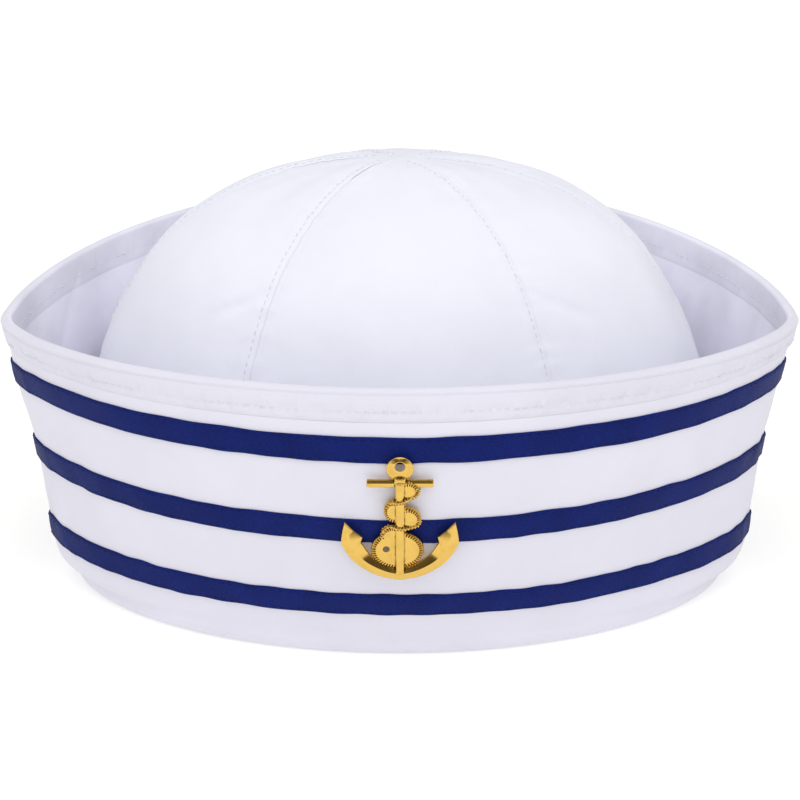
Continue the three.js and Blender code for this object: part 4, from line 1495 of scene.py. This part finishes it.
class SailorClothSettings(bpy.types.PropertyGroup):
    """Sizes and colours of the cotton and its sewing."""

    crown_colour: colour_setting("Crown Cotton", "Colour of the crown's cloth", (0.845, 0.855, 0.945))
    # The cuff's cotton is the crown's white cloth painted darker: painted shade, not a different cloth.
    cuff_shaded_colour: colour_setting("Cuff Cotton", "Colour of the cuff's cloth", (0.78, 0.77, 0.87))
    weave_pitch: length_setting("Weave Pitch", "Distance between two threads of the cloth", 0.00042, 0.0001)
    wrinkle_height: length_setting("Wrinkle Height", "Height of the cloth's broad waves", 0.0009)
    pucker_height: length_setting(
        "Pucker Height", "Height of the puckers beside a row of stitches", 0.00048
    )
    seam_groove: length_setting("Back Seam Groove", "Depth of the groove at the cuff's back seam", 0.00045)
    seam_allowance: length_setting("Seam Allowance", "Width of the raised cloth beside a crown seam", 0.0042)
    topstitch_offset: length_setting(
        "Topstitch Offset", "Distance of the topstitching from its seam", 0.0016
    )
    stitch_pitch: length_setting("Stitch Pitch", "Distance from one stitch to the next", 0.0028, 0.0005)
    thread_radius: length_setting(
        "Thread Radius", "Half the thickness of the sewing thread", 0.00017, 0.00005
    )
    # The white thread is painted a little darker than the cloth: painted shade of the stitch holes, so
    # stitches read as dark dots.
    thread_shaded_colour: colour_setting("Thread", "Colour of the white thread", (0.76, 0.76, 0.85))


class SailorRibbonSettings(bpy.types.PropertyGroup):
    """Sizes and colours of the ribbons."""

    colour: colour_setting("Navy", "Colour of the ribbons", (0.0045, 0.0125, 0.118))
    thickness: length_setting("Thickness", "Thickness of a ribbon", 0.00072, 0.0001)
    rib_pitch: length_setting("Rib Pitch", "Distance between two ribs of the ribbon's weave", 0.0005, 0.0001)
    edge_wander: length_setting("Edge Wander", "How far a ribbon's edges stray from a true line", 0.00013)
    lap_length: length_setting(
        "Lap Length", "Length over which a ribbon's ends overlap at the back", 0.014, 0.001
    )
    stitch_inset: length_setting("Stitch Inset", "Distance of the stitches from a ribbon's edge", 0.00085)


class SailorBadgeSettings(bpy.types.PropertyGroup):
    """Sizes and finish of the gilt anchor."""

    colour: colour_setting("Gilt", "Colour of the gilt metal", (0.79, 0.51, 0.125))
    recess_colour: colour_setting(
        "Recesses", "Colour of the tarnish in the metal's hollows", (0.10, 0.045, 0.008)
    )
    roughness: amount_setting("Roughness", "Roughness of the polished metal", 0.16, 0.02, 1)
    wear: amount_setting("Wear", "How much the metal is dulled in patches", 0.5, 0, 1)
    edge: length_setting("Edge", "Height of the metal at the edge of the arms", 0.0007)
    relief: length_setting("Relief", "Height of the ridge of the arms", 0.0023)
    eye_radius: length_setting("Eye Radius", "Outer radius of the eye", 0.0041)
    eye_hole: length_setting("Eye Hole", "Radius of the hole in the eye", 0.0016)
    eye_relief: length_setting("Eye Relief", "Height of the eye's ring", 0.0020)
    fan_edge: length_setting("Fan Edge", "Height of the rope's fans at their rims", 0.0014)
    fan_top: length_setting("Fan Top", "Height of the middle of the rope's fans", 0.0019)
    notch_depth: length_setting(
        "Notch Depth", "Depth of the notches in the rims of the rope's fans", 0.0007
    )
    rope_radius: length_setting("Rope Radius", "Radius of the cast rope", 0.0008)
    rope_level: length_setting(
        "Rope Crossing", "Height of the rope's middle line where it crosses the shank", 0.0023
    )
    rope_low: length_setting("Rope Level", "Height of the rope's middle line beside the shank", 0.0014)
    rope_pitch: length_setting("Rope Pitch", "Distance from one strand of the rope to the next", 0.00092)
    fuse_size: length_setting(
        "Fuse Size", "Size of the cells in which the badge's shapes are fused", 0.000145, 0.00005
    )


class SailorStageSettings(bpy.types.PropertyGroup):
    """Camera, floor and light."""

    elevation: bpy.props.FloatProperty(
        name="Elevation", description="Angle of the camera above the floor",
        default=math.radians(18.5), subtype="ANGLE",
    )
    distance: length_setting("Distance", "Distance of the camera from its target", 1.05)
    lens: amount_setting("Lens", "Focal length in millimetres", 146.1)
    target_height: length_setting(
        "Target Height", "Height of the point that the camera looks at", 0.0604
    )
    floor_colour: colour_setting("Floor", "Colour of the floor", (0.72, 0.72, 0.705))
    floor_glow: amount_setting("Floor Glow", "How much the floor glows, as a lit white table does", 0.4)
    key_power: amount_setting("Key Light", "Power of the overhead softbox in watts", 18.0)
    front_power: amount_setting("Front Light", "Power of the softbox above the camera in watts", 25.0)
    side_power: amount_setting("Side Lights", "Power of each side softbox in watts", 0.8)
    sky: amount_setting("Sky", "Strength of the even light from all round", 0.62)


# Operators


class SAILOR_OT_crown(bpy.types.Operator):
    """Build the crown's six gores and their topstitching"""

    bl_idname = "sailor.crown"
    bl_label = "Crown"

    def execute(self, context):
        for gore in range(GORES):
            finish_piece(make_gore(gore), cotton("crown_cotton"), "white_cloth", f"crown_panel_{gore + 1}")
        thread = thread_material("white_thread", context.scene.sailor_cloth.thread_shaded_colour)
        finish_piece(make_crown_stitches(), thread, "white_cloth")
        return {"FINISHED"}


class SAILOR_OT_cuff(bpy.types.Operator):
    """Build the turned-up cuff, the hem over its rim and the hem's stitches"""

    bl_idname = "sailor.cuff"
    bl_label = "Cuff and Hem"

    def execute(self, context):
        cuff = swept_ring("cuff_cloth", cuff_section, ring_angles(CUFF_STEPS))
        mark_inner_side(cuff)
        finish_piece(cuff, cotton("cuff_cotton"), "white_cloth", "cuff")
        hem = swept_ring("hem_band", hem_section, ring_angles(HEM_STEPS))
        mark_inner_side(hem)
        finish_piece(hem, cotton("hem_cotton"), "white_cloth", "rim_hem")
        thread = bpy.data.materials["white_thread"]
        finish_piece(make_hem_stitches(), thread, "white_cloth")
        return {"FINISHED"}


class SAILOR_OT_ribbons(bpy.types.Operator):
    """Build the three ribbons round the cuff and the stitches along their edges"""

    bl_idname = "sailor.ribbons"
    bl_label = "Ribbons"

    def execute(self, context):
        ribbon = context.scene.sailor_ribbon
        material = ribbon_material(ribbon)
        for name, middle in RIBBONS.items():
            finish_piece(make_ribbon(name, middle), material, "navy_ribbon", name)
        thread = thread_material("navy_thread", shade(ribbon.colour, 0.8))
        finish_piece(make_ribbon_stitches(), thread, "navy_ribbon")
        return {"FINISHED"}


class SAILOR_OT_badge(bpy.types.Operator):
    """Build the gilt fouled anchor and the pin that holds it"""

    bl_idname = "sailor.badge"
    bl_label = "Anchor Badge"

    def execute(self, context):
        material = gilt_material(context.scene.sailor_badge)
        finish_piece(make_anchor(), material, "gilt_metal", "anchor_badge")
        finish_piece(make_pin(), material, "gilt_metal", "badge_pin")
        return {"FINISHED"}


def aimed(obj, place, target):
    """Puts an object at a place, its own -Z towards the target."""
    obj.location = place
    obj.rotation_euler = (Vector(target) - Vector(place)).to_track_quat("-Z", "Y").to_euler()


def rectangle(name, size):
    """A flat rectangle round its own origin, facing its own +Z."""
    x, y = size[0] / 2, size[1] / 2
    points = np.array([[-x, -y, 0], [x, -y, 0], [x, y, 0], [-x, y, 0]])
    return mesh_object(name, points, np.array([[0, 1, 2, 3]]), smooth=False)


def softbox(name, place, target, size, power):
    """A rectangular area light."""
    light = bpy.data.lights.new(name, "AREA")
    light.shape = "RECTANGLE"
    light.size, light.size_y = size
    light.energy = power
    aimed(linked_object(name, light), place, target)


def flag_card(name, place, target, size):
    """A dark card that only shiny metal mirrors, so that its facets read."""
    obj = rectangle(name, size)
    aimed(obj, place, target)
    material, nodes, shader = new_material(name)
    nodes.fill(shader, {
        "Base Color": (0.01, 0.01, 0.01, 1),
        "Emission Color": (1.0, 0.6, 0.3, 1),
        "Emission Strength": 0.02,
    })
    obj.data.materials.append(material)
    obj.visible_camera = False
    obj.visible_diffuse = False
    obj.visible_shadow = False
    obj.visible_transmission = False


def pale_floor(stage):
    """A wide pale floor with a faint unevenness of tone."""
    floor = rectangle("pale_floor", FLOOR_SIZE)
    material, nodes, shader = new_material("pale_floor")
    patches = nodes.noise(nodes.place(), 3.0, 2.0)
    nodes.fill(shader, {
        "Base Color": nodes.mix(patches, shade(stage.floor_colour, 0.99), shade(stage.floor_colour, 1.0)),
        "Roughness": 0.9,
        "Specular IOR Level": 0.1,
        "Emission Color": (1.0, 1.0, 0.985, 1),
        "Emission Strength": stage.floor_glow,
    })
    floor.data.materials.append(material)


def white_world(stage):
    """An even white surround: bright where the camera sees it, softer as a light."""
    world = bpy.data.worlds.new("white_surround")
    world.use_nodes = True
    nodes = Nodes(world.node_tree)
    world.node_tree.nodes.clear()
    seen = nodes.add("ShaderNodeLightPath").outputs["Is Camera Ray"]
    strength = nodes.linear(seen, SEEN_SKY - stage.sky, stage.sky)
    light = nodes.add("ShaderNodeBackground", {"Color": (1.0, 1.0, 0.99, 1), "Strength": strength})
    nodes.add("ShaderNodeOutputWorld", {"Surface": light.outputs[0]})
    bpy.context.scene.world = world


def add_camera(stage):
    """The camera, level across, aimed at the cap from the given angle above the floor."""
    data = bpy.data.cameras.new("camera")
    data.lens = stage.lens
    data.sensor_width = 36
    camera = linked_object("camera", data)
    target = Vector((0, SIDE_TIPS_Y, stage.target_height))
    back = Vector((0, -math.cos(stage.elevation), math.sin(stage.elevation)))
    aimed(camera, target + back * stage.distance, target)
    bpy.context.scene.camera = camera


class SAILOR_OT_stage(bpy.types.Operator):
    """Add the camera, the pale floor and the soft studio light"""

    bl_idname = "sailor.stage"
    bl_label = "Stage"

    def execute(self, context):
        stage = context.scene.sailor_stage
        context.scene.view_settings.view_transform = "Standard"
        add_camera(stage)
        pale_floor(stage)
        white_world(stage)
        softbox("overhead_softbox", (0, 0.1, 2.4), (0, 0.1, 0), (4.0, 4.0), stage.key_power)
        softbox("left_softbox", (-1.4, -0.7, 0.6), CAP_MIDDLE, (0.9, 0.9), stage.side_power)
        softbox("right_softbox", (1.4, -0.7, 0.6), CAP_MIDDLE, (0.9, 0.9), stage.side_power)
        softbox("front_softbox", (0, -1.6, 2.2), CAP_MIDDLE, (2.8, 1.8), stage.front_power)
        flag_card("dark_flag", (0, -1.25, 0.85), CAP_MIDDLE, (5.0, 1.8))
        return {"FINISHED"}


class SAILOR_PT_panel(bpy.types.Panel):
    """The cap's operators and settings"""

    bl_label = "Sailor Cap"
    bl_idname = "SAILOR_PT_panel"
    bl_space_type = "VIEW_3D"
    bl_region_type = "UI"
    bl_category = "Sailor Cap"

    def draw(self, context):
        for title, settings, operators in PANEL_ROWS:
            box = self.layout.box()
            box.label(text=title)
            group = getattr(context.scene, settings)
            for name in group.__annotations__:
                box.prop(group, name)
            for operator in operators:
                box.operator(operator)


PANEL_ROWS = (
    ("Cloth", "sailor_cloth", ("sailor.crown", "sailor.cuff")),
    ("Ribbons", "sailor_ribbon", ("sailor.ribbons",)),
    ("Badge", "sailor_badge", ("sailor.badge",)),
    ("Stage", "sailor_stage", ("sailor.stage",)),
)

SETTINGS = {
    "sailor_cloth": SailorClothSettings,
    "sailor_ribbon": SailorRibbonSettings,
    "sailor_badge": SailorBadgeSettings,
    "sailor_stage": SailorStageSettings,
}

CLASSES = (
    *SETTINGS.values(),
    SAILOR_OT_crown,
    SAILOR_OT_cuff,
    SAILOR_OT_ribbons,
    SAILOR_OT_badge,
    SAILOR_OT_stage,
    SAILOR_PT_panel,
)


def register():
    """Registers the classes and hangs the settings on the scene."""
    for cls in CLASSES:
        bpy.utils.register_class(cls)
    for name, cls in SETTINGS.items():
        setattr(bpy.types.Scene, name, bpy.props.PointerProperty(type=cls))


def unregister():
    """Takes the settings and the classes away again."""
    for name in SETTINGS:
        delattr(bpy.types.Scene, name)
    for cls in reversed(CLASSES):
        bpy.utils.unregister_class(cls)


def main():
    """Builds the whole cap and its stage."""
    register()
    bpy.ops.sailor.stage()
    bpy.ops.sailor.crown()
    bpy.ops.sailor.cuff()
    bpy.ops.sailor.ribbons()
    bpy.ops.sailor.badge()


if __name__ == "__main__":
    main()
